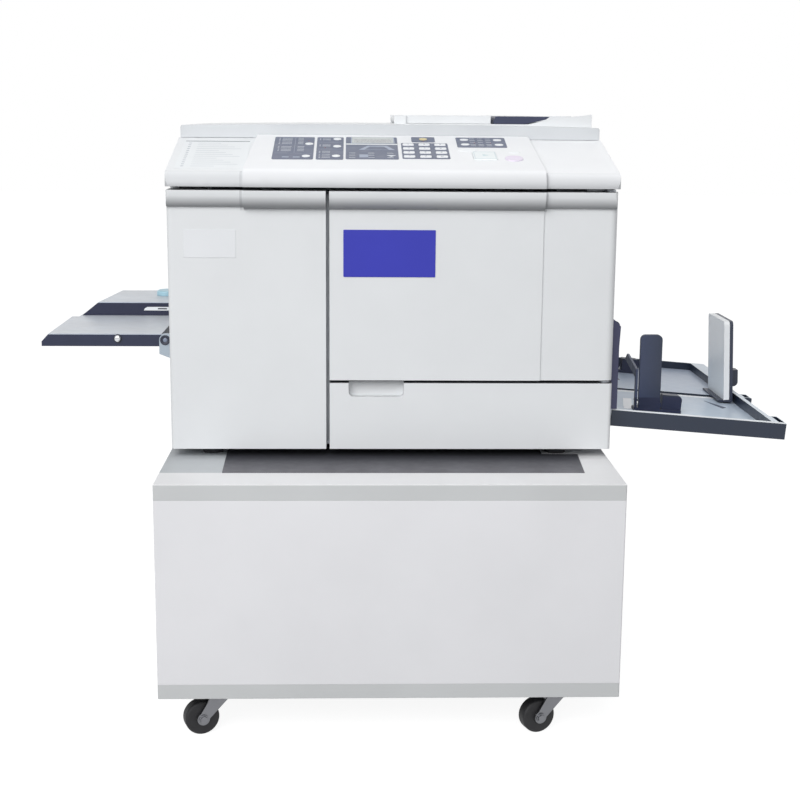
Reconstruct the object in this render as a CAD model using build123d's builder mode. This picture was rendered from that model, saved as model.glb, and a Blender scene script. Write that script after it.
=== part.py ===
from build123d import *
from math import atan2, cos, degrees, hypot, radians, sin
import os

os.makedirs("parts", exist_ok=True)

# Fits and clearances
seam = 0.5
slide_gap = 0.3
bore_gap = 0.05
touch = 0.4
inlet_fit = 0.1
round_margin = 0.1

# How far a cut runs past a face, or one solid runs into the next
over = 1.0

# Stand: a closed cabinet on four casters
stand_w = 654.0
stand_d = 720.0
stand_h = 311.5
stand_x = -5.0
stand_front = -160.0
stand_top_t = 22.5
stand_bottom_t = 21.0
stand_front_t = 18.0
stand_side_t = 18.0
stand_back_t = 8.0
stand_back_inset = 6.0
stand_edge_r = 2.0

# Casters
caster_h = 65.0
caster_inset_x = 85.0
caster_inset_y = 45.0
caster_plate_w = 60.0
caster_plate_t = 3.0
caster_race_r = 20.0
caster_race_h = 4.0
caster_turn = 200.0
caster_trail = 30.0
wheel_r = 25.0
wheel_w = 20.0
hub_r = 9.0
hub_w = 24.0
tyre_edge_r = 4.0
axle_r = 4.0
axle_head_r = 7.0
axle_head_t = 2.0
yoke_t = 2.5
yoke_top_t = 3.6
yoke_disc_r = 22.0
king_pin_r = 5.0
king_head_r = 9.0
king_head_t = 3.5

# Body of the machine, above the stand
foot_gap = 13.5
foot_r = 18.0
foot_taper = 3.0
foot_left = -268.0
foot_right = 249.0
foot_front = 44.0
foot_back_gap = 60.0
body_w = 650.0
body_d = 600.0
wall = 3.0
base_t = 3.0
base_lift = 2.0
cover_depth = 25.0
flange = 12.0
rest_front = 45.0
rest_rear_gap = 100.0
rest_l = 22.0
rest_inset = 1.0
corner_r = 6.0

# Front face, heights above the body's underside
lower_cover_h = 100.0
door_low_h = 103.0
body_h = 379.0
lid_gap = 5.0
seam_x = -94.5
seam_w = 5.0
door_t = 22.0
plateau_t = 2.5
notch_left = -64.0
notch_right = 17.0
notch_low_h = 78.5
notch_r = 7.0
notch_depth = 16.0

# Projecting nose under the lid gap, and the raised middle of the front
nose_h = 27.0
nose_reach = 22.0
nose_end_h = 24.5
nose_end_reach = 14.0
nose_corner_r = 6.0
nose_pull = (1.1, 0.7)
nose_inset_left = 0.8
nose_inset_right = 3.5
middle_left = -214.0
middle_right = 217.0

# Door hinge plates and pins
door_pin_r = 3.0
door_pin_l = 12.0
hinge_plate_t = 2.5
hinge_plate_w = 16.0
hinge_tab_t = 3.0
hinge_tab_h = 14.0

# Inner frames
frame_t = 3.0
frame_front = 30.0
frame_rear_gap = 26.0
frame_side_gap = 10.0
frame_top_gap = 7.0

# Print drum and rollers
drum_x = 60.0
drum_h = 235.0
drum_r = 92.0
drum_wall = 3.0
drum_front = 120.0
drum_rear_gap = 120.0
drum_flange_t = 6.0
drum_window_r = 20.0
drum_window_pitch = 55.0
drum_shaft_r = 8.0
drum_hub_r = 22.0
drum_knob_r = 14.0
drum_knob_l = 12.0
nip = 0.8
pressure_r = 22.0
roller_shaft_r = 5.0
roller_overrun = 3.0
feed_roller_x = -262.0
feed_roller_h = 184.0
feed_roller_r = 16.0
feed_roller_l = 80.0
carrier_w = 230.0
carrier_h = 214.0
carrier_grip_w = 110.0
carrier_grip_t = 14.0
carrier_grip_reach = 17.0
carrier_grip_drop = 84.0
drum_door_gap = 5.0

# Scanner unit: the lid over the whole machine
deck_rise = 65.0
slope_back = 176.0
slope_foot_rise = 21.5
lid_rear_gap = 6.0
lid_corner_r = 13.0
lid_heel = 8.0
lid_wall = 4.0
lid_floor_t = 4.0
well_side = 25.0
well_front = 190.0
well_rear_gap = 38.0
deck_t = 6.0
glass_w = 436.0
glass_front = 192.0
glass_rear = 498.0
glass_t = 3.2
glass_ledge = 4.0
rail_w = 8.0
rail_h = 8.0
rail_front = 235.0
rail_rear = 455.0
carriage_w = 34.0
carriage_h = 32.0
carriage_front = 205.0
carriage_rear = 486.0
carriage_x = -232.0

# Scanner hinge
lid_axis_gap = 20.0
lid_axis_rise = 8.0
lid_lug_r = 8.0
lid_lug_w = 24.0
lid_lug_x = 200.0
lid_pin_r = 3.0
lid_pin_l = 10.0

# Control fascia
fascia_rise = 5.6
fascia_skin = 4.0
fascia_back = 177.0
fascia_taper_left = 9.0
fascia_taper_right = 5.0
fascia_front_y = -8.0
fascia_front_rise = 25.8
overlay_t = 0.6
flat_key_rise = 0.7
key_gap = 0.3
key_flange = 1.2
key_flange_t = 1.2
key_rise = 1.6
key_edge_r = 0.8
number_key_w = 17.0
number_key_l = 10.5
number_key_r = 2.5
number_key_x = 48.6
number_key_s = 99.5
number_pitch_x = 24.0
number_pitch_s = 22.3
start_key_x = 135.5
start_key_s = 73.5
start_key_w = 35.0
start_key_l = 42.0
stop_key_x = 177.5
stop_key_s = 60.0
stop_key_w = 26.0
stop_key_l = 28.0
board_x = (-182.0, 205.0)
board_s = (36.0, 183.0)
board_land = 10.0
key_room_side = 1.0
key_room_end = 7.0

# Platen cover
platen_front = 178.0
platen_gap = 0.5
platen_side = 323.0
platen_end_t = 18.6
platen_crown_t = 21.7
platen_recess = 9.0
platen_rim = 14.0
platen_corner_r = 4.0
platen_axis_gap = 12.0
platen_axis_rise = 5.0
platen_lug_r = 4.5
platen_lug_w = 20.0
platen_lug_x = 230.0
platen_pin_r = 2.5
platen_pin_l = 8.0
deck_step_gap = 19.5
deck_step = 5.0

# Document feeder on the platen cover
feeder_left = 6.0
feeder_right = 318.0
feeder_front = 225.0
feeder_rear = 450.0
feeder_base_t = 1.3
feeder_rise = 13.0
feeder_cover_right = 158.5
feeder_axis_x = 12.5
feeder_axis_rise = 6.5
feeder_end_r = 6.2
feeder_pin_r = 1.2
feeder_pin_l = 2.5
feeder_wall = 4.0
ramp_foot_x = 217.0
ramp_mid_x = 255.0
ramp_mid_rise = 8.3
ramp_rise = 16.0

# Feed side, left
feed_near = 74.0
feed_far_gap = 60.0
feed_top_h = 160.0
feed_low_h = 141.0
feed_inner_x = -345.0
feed_outer_x = -525.0
feed_top_x = -514.0
feed_bevel_h = 148.0
feed_step_y = 262.0
feed_step = 11.0
feed_taper = 3.0
feed_wall = 3.0
feed_axis_x = -339.0
feed_axis_h = 152.0
feed_pin_r = 3.5
feed_boss_l = 10.0
feed_ear_t = 9.0
feed_ear_low_h = 122.0
feed_ear_r = 9.0
feed_recess_front = 140.0
feed_recess_rear_gap = 70.0
feed_recess_low_h = 163.0
feed_recess_top_h = 315.0
feed_recess_depth = 33.0
feed_slot_front = 152.0
feed_slot_rear_gap = 132.0
feed_slot_top_h = 214.0
guide_near = 275.0
guide_far = 435.0
guide_top_h = 182.0
guide_inner_x = -352.0
guide_foot_x = -500.0
guide_head_x = -473.0
guide_wall = 2.5
guide_taper = 5.2
guide_back = 40.0
guide_out = 60.0
guide_slot_x = -415.0
guide_slot_w = 8.0
guide_foot_y = 330.0
guide_foot_l = 40.0
slot_end = 2.0
lever_x = -373.5
lever_y = 375.0
lever_l = 44.0
lever_w = 34.0
lever_t = 8.0
lever_pin_r = 3.0
lever_pin_l = 5.0
lever_edge_r = 3.0

# Delivery side, right
tray_inner_x = 334.2
tray_near = 45.0
tray_far_gap = 25.0
tray_top_h = 52.0
tray_slope = 4.64
tray_l = 255.0
tray_lug_l = 14.0
tray_lug_near = 48.0
tray_lug_mid = (197.0, 228.0)
tray_lug_wall = 3.0
tray_h = 26.0
tray_wall = 4.0
tray_end_wall = 8.0
tray_floor_drop = 15.0
tray_floor_t = 3.0
tray_far_lift = 2.0
tray_corner_u = 242.0
tray_corner_v = 345.0
tray_edge_r = 2.0
tray_axis_u = 15.0
tray_axis_w = -20.5
tray_pin_r = 2.5
tray_boss_l = 6.0
tray_ear_t = 6.5
tray_ear_r = 5.0
bay_front = 85.0
bay_rear_gap = 65.0
bay_low_h = 62.0
bay_top_h = 312.0
bay_back_x = 194.0
exit_front = 150.0
exit_rear_gap = 130.0
exit_low_h = 118.0
exit_top_h = 150.0
relief = 5.0

# Fences on the delivery tray: their bases lie on its floor, their plates stand upright
fence_u = 56.0
fence_w = 34.0
fence_t = 8.0
fence_half = 185.0
fence_top = 101.0
fence_rear_top = 71.0
fence_corner_r = 8.0
fence_base_t = 5.0
boss_r = 6.5
boss_u = 86.0
boss_rise = 11.0
slider_u = 94.0
slider_l = 31.0
slider_w = 20.0
slider_inset = 3.0
slider_top = 13.3
slider_corner_r = 7.0
wing_u = 50.0
wing_t = 3.5
wing_leg_w = 8.0
wing_h = 47.0
wing_reach = 70.5
wing_tip = 15.5
wing_band = 13.5
wing_rise = 11.7
fence_slot_w = 8.0
fence_travel_in = 88.0
fence_travel_out = 15.0
end_fence_u = 225.0
end_fence_w = 108.0
end_face_t = 9.0
end_back_t = 6.0
end_fence_top = 122.0
end_fence_r = 7.0
end_lean = 7.0
end_lip = 8.0
end_knob_low = 17.0
end_knob_h = 28.0
end_knob_l = 20.0
end_knob_w = 20.0
end_knob_r = 8.0
end_travel_in = 120.0
end_travel_out = 2.0
foot_l = 16.0
foot_lip = 3.0
foot_drop = 8.0

# Rear of the body
rear_cover_t = 3.0
rear_edge_r = 2.0
vent_w = 60.0
vent_h = 4.0
vent_field_w = 366.0
vent_field_h = 102.0
vent_pitch_x = 76.0
vent_pitch_z = 14.0
vent_x = 60.0
vent_z = 260.0
inlet_x = -250.0
inlet_z = 60.0
inlet_w = 28.0
inlet_h = 20.0
inlet_depth = 22.0
inlet_flange = 4.0
inlet_wall = 2.0
inlet_floor = 3.0
blade_w = 2.0
blade_h = 4.0
blade_inset = 5.5
blade_spots = ((-7.0, -2.0), (7.0, -2.0), (0.0, 3.0))

# Heights from the floor
stand_z = caster_h
stand_top_z = stand_z + stand_h
body_z = stand_top_z + foot_gap
lid_z = body_z + body_h + lid_gap
half_w = body_w / 2

# Depths from the machine's front, where a piece keeps its distance from the body's rear
rest_rear = body_d - rest_rear_gap
frame_rear = body_d - frame_rear_gap
lid_rear = body_d - lid_rear_gap
well_rear = body_d - well_rear_gap
lid_axis_y = body_d - lid_axis_gap
platen_axis_y = body_d - platen_axis_gap
deck_step_y = body_d - deck_step_gap
foot_back = body_d - foot_back_gap
drum_rear = body_d - drum_rear_gap
feed_far = body_d - feed_far_gap
feed_recess_rear = body_d - feed_recess_rear_gap
feed_slot_rear = body_d - feed_slot_rear_gap
tray_far = body_d - tray_far_gap
bay_rear = body_d - bay_rear_gap
exit_rear = body_d - exit_rear_gap

# The shared origin is the centre of the base of the whole outline
tray_reach = (tray_l + tray_lug_l) * cos(radians(tray_slope))
middle_x = (feed_outer_x + tray_inner_x + tray_reach) / 2
middle_y = (stand_front + body_d) / 2
to_origin = Location((-middle_x, -middle_y, 0))

# Directions that turn a rod's own axis from +Z
along_x = (0, 90, 0)
along_y = (-90, 0, 0)
along_z = (0, 0, 0)
base_up = (Align.CENTER, Align.CENTER, Align.MIN)


def save(piece, name):
    """Labels a finished piece, moves it to the shared origin and writes it."""
    piece.part.label = name
    placed = piece.part.moved(to_origin)
    placed.label = name
    export_step(placed, f"parts/{name}.step")


def slab(first, second, mode=Mode.ADD):
    """A box between two opposite corners."""
    size = [abs(b - a) for a, b in zip(first, second)]
    with Locations(tuple((a + b) / 2 for a, b in zip(first, second))):
        Box(*size, mode=mode)


def rod(start, direction, length, radius, mode=Mode.ADD):
    """A round rod that starts at a point and runs in a direction."""
    with Locations(Location(start, direction)):
        Cylinder(radius, length, align=base_up, mode=mode)


def bore(x, z, y_start, depth, radius):
    """A round hole along Y that runs past both faces of a wall."""
    rod((x, y_start - over, z), along_y, depth + 2 * over, radius, mode=Mode.SUBTRACT)


def side_prism(points, x_low, x_high, mode=Mode.ADD):
    """A polygon drawn in Y and Z, run along X."""
    with BuildSketch(Plane.YZ.offset(x_low)) as outline:
        with BuildLine():
            Polyline(*points, close=True)
        make_face()
    add(extrude(outline.sketch, amount=x_high - x_low, mode=Mode.PRIVATE), mode=mode)


def front_prism(points, y_low, y_high, mode=Mode.ADD):
    """A polygon drawn in X and Z, run along Y."""
    with BuildSketch(Plane.XZ.offset(-y_low)) as outline:
        with BuildLine():
            Polyline(*points, close=True)
        make_face()
    add(extrude(outline.sketch, amount=y_low - y_high, mode=Mode.PRIVATE), mode=mode)


def tapered_cut(corner, angle, points, length):
    """Cuts away a profile in X and Z that runs to the rear from a corner, turned a little inwards."""
    turn_in = radians(angle)
    turned = Plane(origin=(*corner, 0), x_dir=(cos(turn_in), -sin(turn_in), 0), z_dir=(0, 0, 1))
    with BuildPart(turned) as wedge:
        front_prism(points, 0, length)
    add(wedge.part, mode=Mode.SUBTRACT)


def lower_nose(x_low, x_high, reach, height, rounded):
    """The nose on the body's top edge; rounded is the side whose plan corner is rounded."""
    top = body_z + body_h
    with BuildPart() as bar:
        with BuildSketch(Plane.YZ.offset(x_low)):
            with BuildLine():
                EllipticalCenterArc((0, top), reach, height, 180, arc_size=90)
                Polyline((0, top - height), (wall, top - height), (wall, top), (-reach, top))
            make_face()
        extrude(amount=x_high - x_low)
        round_plan(x_low, x_high, reach, top - height - over, top + over, rounded)
    return bar.part


def lid_nose_line(y_front, y_back, z_back):
    """Curve from the lid's lower edge up and over onto its slope."""
    slope = atan2(deck_rise - slope_foot_rise, slope_back)
    Spline((y_front, lid_z), (y_back, z_back), tangents=((0, 1), (cos(slope), sin(slope))),
           tangent_scalars=nose_pull)


def upper_nose(x_low, x_high, rounded):
    """The lid's nose at one end, outside the fascia."""
    top = lid_z + slope_foot_rise
    with BuildPart() as bar:
        with BuildSketch(Plane.YZ.offset(x_low)):
            with BuildLine():
                lid_nose_line(-nose_end_reach, 0, top)
                Polyline((0, top), (over, top), (over, lid_z), (-nose_end_reach, lid_z))
            make_face()
        extrude(amount=x_high - x_low)
        round_plan(x_low, x_high, nose_end_reach, lid_z - over, top + over, rounded)
    return bar.part


def round_plan(x_low, x_high, reach, z_low, z_high, rounded):
    """Rounds one end of a nose as seen from above."""
    radius = min(nose_corner_r, reach)
    with BuildSketch(Plane.XY.offset(z_low)) as plan:
        with Locations(((x_low + x_high) / 2, 0)):
            Rectangle(x_high - x_low, 2 * reach)
        corners = plan.vertices().group_by(Axis.Y)[0].sort_by(Axis.X)
        if rounded == "left":
            fillet(corners[0], radius)
        if rounded == "right":
            fillet(corners[-1], radius)
    extrude(plan.sketch, amount=z_high - z_low, mode=Mode.INTERSECT)


# Cabinet boards
stand_left = stand_x - stand_w / 2
stand_right = stand_x + stand_w / 2
stand_rear = stand_front + stand_d
stand_low = stand_z + stand_bottom_t
stand_high = stand_top_z - stand_top_t

with BuildPart() as cabinet_bottom:
    slab((stand_left, stand_front, stand_z), (stand_right, stand_rear, stand_low))
    fillet(cabinet_bottom.edges().filter_by(Axis.Z), stand_edge_r)
save(cabinet_bottom, "cabinet_bottom")

with BuildPart() as cabinet_top:
    slab((stand_left, stand_front, stand_high), (stand_right, stand_rear, stand_top_z))
    fillet(cabinet_top.edges().filter_by(Axis.Z), stand_edge_r)
    fillet(cabinet_top.faces().sort_by(Axis.Z)[-1].edges(), stand_edge_r / 2)
save(cabinet_top, "cabinet_top")

with BuildPart() as cabinet_front:
    slab((stand_left, stand_front, stand_low), (stand_right, stand_front + stand_front_t, stand_high))
    fillet(cabinet_front.faces().sort_by(Axis.Y)[0].edges().filter_by(Axis.Z), stand_edge_r)
save(cabinet_front, "cabinet_front")

with BuildPart() as cabinet_sides:
    slab((stand_left, stand_front + stand_front_t, stand_low),
         (stand_left + stand_side_t, stand_rear, stand_high))
    slab((stand_right - stand_side_t, stand_front + stand_front_t, stand_low),
         (stand_right, stand_rear, stand_high))
save(cabinet_sides, "cabinet_sides")

with BuildPart() as cabinet_back:
    back_y = stand_rear - stand_back_inset
    slab((stand_left + stand_side_t, back_y - stand_back_t, stand_low),
         (stand_right - stand_side_t, back_y, stand_high))
save(cabinet_back, "cabinet_back")

# Casters: plates, swivelling yokes and wheels
caster_spots = {
    "front_left": (stand_left + caster_inset_x, stand_front + caster_inset_y),
    "front_right": (stand_right - caster_inset_x, stand_front + caster_inset_y),
    "rear_left": (stand_left + caster_inset_x, stand_rear - caster_inset_y),
    "rear_right": (stand_right - caster_inset_x, stand_rear - caster_inset_y),
}
race_low = stand_z - caster_plate_t - caster_race_h
yoke_top = race_low - slide_gap
yoke_low = yoke_top - yoke_top_t
cheek_in = hub_w / 2 + slide_gap
cheek_out = cheek_in + yoke_t


def caster_plane(spot):
    """Caster frame on the floor below the king pin, with +X towards the wheel."""
    turn = radians(caster_turn)
    return Plane(origin=(*spot, 0), x_dir=(cos(turn), sin(turn), 0), z_dir=(0, 0, 1))


with BuildPart() as caster_plates:
    for spot in caster_spots.values():
        with Locations((*spot, stand_z - caster_plate_t)):
            Box(caster_plate_w, caster_plate_w, caster_plate_t, align=base_up)
        rod((*spot, race_low), along_z, caster_race_h, caster_race_r)
        rod((*spot, yoke_low - slide_gap - king_head_t), along_z, race_low - yoke_low + king_head_t,
            king_pin_r)
        rod((*spot, yoke_low - slide_gap - king_head_t), along_z, king_head_t, king_head_r)
save(caster_plates, "caster_plates")


def make_yoke(spot):
    """Pressed fork with its wheel axle."""
    with BuildPart(caster_plane(spot)) as yoke:
        rod((0, 0, yoke_low), along_z, yoke_top_t, yoke_disc_r)
        for side in (-1, 1):
            cheek_y = side * (cheek_in + cheek_out) / 2 - yoke_t / 2
            front_prism(((-caster_race_r / 2, yoke_low + over), (caster_race_r, yoke_low + over),
                         (caster_trail + hub_r, wheel_r), (caster_trail - hub_r, wheel_r)),
                        cheek_y, cheek_y + yoke_t)
            rod((caster_trail, cheek_y, wheel_r), along_y, yoke_t, hub_r)
        rod((caster_trail, -cheek_out - axle_head_t, wheel_r), along_y, 2 * (cheek_out + axle_head_t),
            axle_r)
        for end in (-cheek_out - axle_head_t, cheek_out):
            rod((caster_trail, end, wheel_r), along_y, axle_head_t, axle_head_r)
        rod((0, 0, yoke_low - over), along_z, yoke_top_t + 2 * over, king_pin_r + bore_gap,
            mode=Mode.SUBTRACT)
    return yoke


def make_wheel(spot):
    """Soft-edged wheel with a wider hub."""
    with BuildPart(caster_plane(spot)) as wheel:
        rod((caster_trail, -wheel_w / 2, wheel_r), along_y, wheel_w, wheel_r)
        fillet(wheel.edges().filter_by(GeomType.CIRCLE), tyre_edge_r)
        rod((caster_trail, -hub_w / 2, wheel_r), along_y, hub_w, hub_r)
        rod((caster_trail, -hub_w / 2 - over, wheel_r), along_y, hub_w + 2 * over, axle_r + bore_gap,
            mode=Mode.SUBTRACT)
    return wheel


for name, spot in caster_spots.items():
    save(make_yoke(spot), f"caster_yoke_{name}")
    save(make_wheel(spot), f"caster_wheel_{name}")

# Feet and base plate
base_z = body_z + base_lift

with BuildPart() as feet:
    for x in (foot_left, foot_right):
        for y in (foot_front, foot_back):
            with Locations((x, y, stand_top_z)):
                Cone(foot_r - foot_taper, foot_r, base_z - stand_top_z, align=base_up)
save(feet, "feet")

inner_side = half_w - wall
rear_face = body_d - rear_cover_t

with BuildPart() as base_plate:
    slab((-inner_side, cover_depth, base_z), (inner_side, rear_face, base_z + base_t))
save(base_plate, "base_plate")

# Left front cover
left_cover_right = seam_x - seam_w / 2
door_left = seam_x + seam_w / 2
body_top = body_z + body_h
left_nose_end = lower_nose(-half_w + nose_inset_left, middle_left, nose_end_reach, nose_end_h, "left")
left_nose_middle = lower_nose(middle_left, left_cover_right, nose_reach, nose_h, "none")

with BuildPart() as left_front_cover:
    slab((-half_w, 0, body_z), (left_cover_right, cover_depth, body_top))
    fillet(left_front_cover.edges().filter_by(Axis.Z).group_by(Axis.X)[0].sort_by(Axis.Y)[0], corner_r)
    slab((-inner_side, wall, body_z + wall), (left_cover_right - wall, cover_depth + over, body_top - wall),
         mode=Mode.SUBTRACT)
    add(left_nose_end)
    add(left_nose_middle)
save(left_front_cover, "left_front_cover")

# Lower front cover, with a finger notch in its top edge
lower_top = body_z + lower_cover_h
notch_low = body_z + notch_low_h
notch_mid = (notch_left + notch_right) / 2
notch_w = notch_right - notch_left

with BuildPart() as lower_front_cover:
    slab((door_left, 0, body_z), (half_w, cover_depth, lower_top))
    fillet(lower_front_cover.edges().filter_by(Axis.Z).group_by(Axis.X)[-1].sort_by(Axis.Y)[0], corner_r)
    slab((door_left + wall, wall, body_z + wall), (inner_side, cover_depth + over, lower_top - wall),
         mode=Mode.SUBTRACT)
    slab((notch_left - wall, 0, notch_low - wall), (notch_right + wall, notch_depth + wall, lower_top))
    with BuildSketch(Plane.XZ) as notch:
        with Locations((notch_mid, (notch_low + lower_top) / 2 + notch_r)):
            RectangleRounded(notch_w, lower_top - notch_low + 2 * notch_r, notch_r)
    extrude(notch.sketch, amount=-notch_depth, mode=Mode.SUBTRACT)
save(lower_front_cover, "lower_front_cover")

# Front door: a shell whose right edge is round about the hinge axis
hinge_r = door_t / 2
hinge_x = half_w - hinge_r
door_low = body_z + door_low_h
door_nose_middle = lower_nose(door_left, middle_right, nose_reach, nose_h, "none")
door_nose_end = lower_nose(middle_right, half_w - nose_inset_right, nose_end_reach, nose_end_h, "right")

with BuildPart() as front_door:
    with BuildSketch(Plane.XY.offset(door_low)):
        with Locations(((door_left + hinge_x) / 2, hinge_r)):
            Rectangle(hinge_x - door_left, door_t)
        with Locations((hinge_x, hinge_r)):
            Circle(hinge_r)
    extrude(amount=body_top - door_low)
    slab((door_left + wall, wall, door_low + wall), (hinge_x - wall, door_t + over, body_top - wall),
         mode=Mode.SUBTRACT)
    slab((door_left, -plateau_t, door_low), (middle_right, 0, body_top - nose_h / 2))
    add(door_nose_middle)
    add(door_nose_end)
    for end in (door_low - over, body_top - door_pin_l):
        rod((hinge_x, hinge_r, end), along_z, door_pin_l + over, door_pin_r + bore_gap, mode=Mode.SUBTRACT)
save(front_door, "front_door")

# Door hinge plates, in the seams below and above the door
plate_half = hinge_plate_w / 2
lower_plate_z = door_low - seam - hinge_plate_t
upper_plate_z = body_top + seam

with BuildPart() as door_hinges:
    for plate_z, tab_low, tab_high in (
            (lower_plate_z, lower_plate_z + hinge_plate_t - hinge_tab_h, lower_plate_z + hinge_plate_t),
            (upper_plate_z, upper_plate_z + hinge_plate_t - hinge_tab_h, upper_plate_z + hinge_plate_t)):
        rod((hinge_x, hinge_r, plate_z), along_z, hinge_plate_t, plate_half)
        slab((hinge_x - plate_half, hinge_r, plate_z),
             (hinge_x + plate_half, frame_front, plate_z + hinge_plate_t))
        slab((hinge_x - 2 * hinge_plate_w, frame_front - hinge_tab_t, tab_low),
             (hinge_x + plate_half, frame_front, tab_high))
    pin_l = door_pin_l - 2 * seam
    rod((hinge_x, hinge_r, lower_plate_z), along_z, pin_l, door_pin_r)
    rod((hinge_x, hinge_r, upper_plate_z + hinge_plate_t - pin_l), along_z, pin_l, door_pin_r)
save(door_hinges, "door_hinges")

# Side covers share one folded shape
cover_front = cover_depth + seam


def side_shell(side):
    """A side panel with a flange and two lid rests along its top; side is -1 on the left."""
    outer = side * half_w
    inner = side * inner_side
    flange_x = inner - side * flange
    slab((outer, cover_front, body_z), (inner, rear_face, body_top))
    slab((inner, frame_front + 2 * frame_t, body_top - wall),
         (flange_x, frame_rear - lid_lug_r, body_top))
    for rest_y in (rest_front, rest_rear):
        slab((outer - side * rest_inset, rest_y, body_top - wall),
             (flange_x, rest_y + rest_l, lid_z - slide_gap))


# Left side cover with the feed recess, its slot and the tray's ears
recess_x = feed_recess_depth - half_w
feed_axis_z = body_z + feed_axis_h
ear_near = feed_near - seam
ear_far = feed_far + seam

with BuildPart() as left_side_cover:
    side_shell(-1)
    slab((-half_w, feed_recess_front - wall, body_z + feed_recess_low_h - wall),
         (recess_x + wall, feed_recess_rear + wall, body_z + feed_recess_top_h + wall))
    slab((-half_w - over, feed_recess_front, body_z + feed_recess_low_h),
         (recess_x, feed_recess_rear, body_z + feed_recess_top_h), mode=Mode.SUBTRACT)
    slab((recess_x - over, feed_slot_front, body_z + feed_recess_low_h),
         (recess_x + wall + over, feed_slot_rear, body_z + feed_slot_top_h), mode=Mode.SUBTRACT)
    for ear_y, inward in ((ear_near, 1), (ear_far, -1)):
        outer_y = ear_y - inward * feed_ear_t
        low_y = min(ear_y, outer_y)
        high_y = max(ear_y, outer_y)
        front_prism(((-half_w, body_z + feed_ear_low_h), (-half_w, feed_axis_z + feed_ear_r),
                     (feed_axis_x, feed_axis_z + feed_ear_r), (feed_axis_x - feed_ear_r, feed_axis_z),
                     (feed_axis_x - feed_ear_r, body_z + feed_ear_low_h + feed_ear_r)), low_y, high_y)
        rod((feed_axis_x, low_y, feed_axis_z), along_y, feed_ear_t, feed_ear_r)
        pin_start = low_y if inward == 1 else low_y - feed_wall - feed_boss_l
        rod((feed_axis_x, pin_start, feed_axis_z), along_y, feed_ear_t + feed_wall + feed_boss_l,
            feed_pin_r)
save(left_side_cover, "left_side_cover")

# Delivery tray frame: out along the tray, across the machine, and up from its rim
tray_plane = Plane(origin=(tray_inner_x, tray_near, body_z + tray_top_h),
                   x_dir=(cos(radians(tray_slope)), 0, -sin(radians(tray_slope))),
                   z_dir=(sin(radians(tray_slope)), 0, cos(radians(tray_slope))))
tray_axis = tray_plane.from_local_coords(Vector(tray_axis_u, 0, tray_axis_w))
tray_w = tray_far - tray_near
tray_middle = tray_w / 2

# Right side cover with the delivery bay, its exit slot and the tray's ears
with BuildPart() as right_side_cover:
    side_shell(1)
    slab((half_w, bay_front - wall, body_z + bay_low_h - wall),
         (bay_back_x - wall, bay_rear + wall, body_z + bay_top_h + wall))
    slab((half_w + over, bay_front, body_z + bay_low_h), (bay_back_x, bay_rear, body_z + bay_top_h),
         mode=Mode.SUBTRACT)
    slab((bay_back_x - wall - over, exit_front, body_z + exit_low_h),
         (bay_back_x + over, exit_rear, body_z + exit_top_h), mode=Mode.SUBTRACT)
    for ear_y, inward in ((tray_near + tray_wall + tray_boss_l + seam, 1),
                          (tray_far - tray_wall - tray_boss_l - seam, -1)):
        low_y = min(ear_y, ear_y + inward * tray_ear_t)
        slab((inner_side, low_y, tray_axis.Z - tray_ear_r),
             (tray_axis.X, low_y + tray_ear_t, tray_axis.Z + tray_ear_r))
        rod((tray_axis.X, low_y, tray_axis.Z), along_y, tray_ear_t, tray_ear_r)
        pin_start = low_y - tray_boss_l if inward == 1 else low_y
        rod((tray_axis.X, pin_start, tray_axis.Z), along_y, tray_ear_t + tray_boss_l, tray_pin_r)
    for wall_y in (tray_near - relief / 2, tray_far - tray_wall - relief / 2):
        slab((inner_side - over, wall_y, tray_axis.Z - 3 * relief),
             (half_w + over, wall_y + tray_wall + relief, tray_axis.Z + 3 * relief), mode=Mode.SUBTRACT)
save(right_side_cover, "right_side_cover")

# Rear cover with vents and the inlet's cut-out
inlet_mid_z = body_z + inlet_z

with BuildPart() as rear_cover:
    slab((-half_w, rear_face, body_z), (half_w, body_d, body_top))
    fillet(rear_cover.faces().sort_by(Axis.Y)[-1].edges().filter_by(Axis.Z), rear_edge_r)
    with BuildSketch(Plane.XZ.offset(-rear_face)) as vents:
        with Locations((vent_x, body_z + vent_z)):
            columns = round((vent_field_w - vent_w) / vent_pitch_x) + 1
            rows = round((vent_field_h - vent_h) / vent_pitch_z) + 1
            with GridLocations(vent_pitch_x, vent_pitch_z, columns, rows):
                SlotOverall(vent_w, vent_h)
    extrude(vents.sketch, amount=-rear_cover_t, mode=Mode.SUBTRACT)
    slab((inlet_x - inlet_w / 2, rear_face - over, inlet_mid_z - inlet_h / 2),
         (inlet_x + inlet_w / 2, body_d + over, inlet_mid_z + inlet_h / 2), mode=Mode.SUBTRACT)
save(rear_cover, "rear_cover")

# Power inlet: a flanged socket with three blades
inlet_half_w = inlet_w / 2 - inlet_fit
inlet_half_h = inlet_h / 2 - inlet_fit

with BuildPart() as power_inlet:
    slab((inlet_x - inlet_half_w, body_d - inlet_depth, inlet_mid_z - inlet_half_h),
         (inlet_x + inlet_half_w, body_d, inlet_mid_z + inlet_half_h))
    slab((inlet_x - inlet_half_w - inlet_flange, rear_face - wall,
          inlet_mid_z - inlet_half_h - inlet_flange),
         (inlet_x + inlet_half_w + inlet_flange, rear_face, inlet_mid_z + inlet_half_h + inlet_flange))
    socket_x = inlet_half_w - inlet_wall
    socket_z = inlet_half_h - inlet_wall
    slab((inlet_x - socket_x, body_d - inlet_depth + inlet_floor, inlet_mid_z - socket_z),
         (inlet_x + socket_x, body_d + over, inlet_mid_z + socket_z), mode=Mode.SUBTRACT)
    for x, z in blade_spots:
        slab((inlet_x + x - blade_w / 2, body_d - inlet_depth + over, inlet_mid_z + z - blade_h / 2),
             (inlet_x + x + blade_w / 2, body_d - blade_inset, inlet_mid_z + z + blade_h / 2))
save(power_inlet, "power_inlet")

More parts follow.
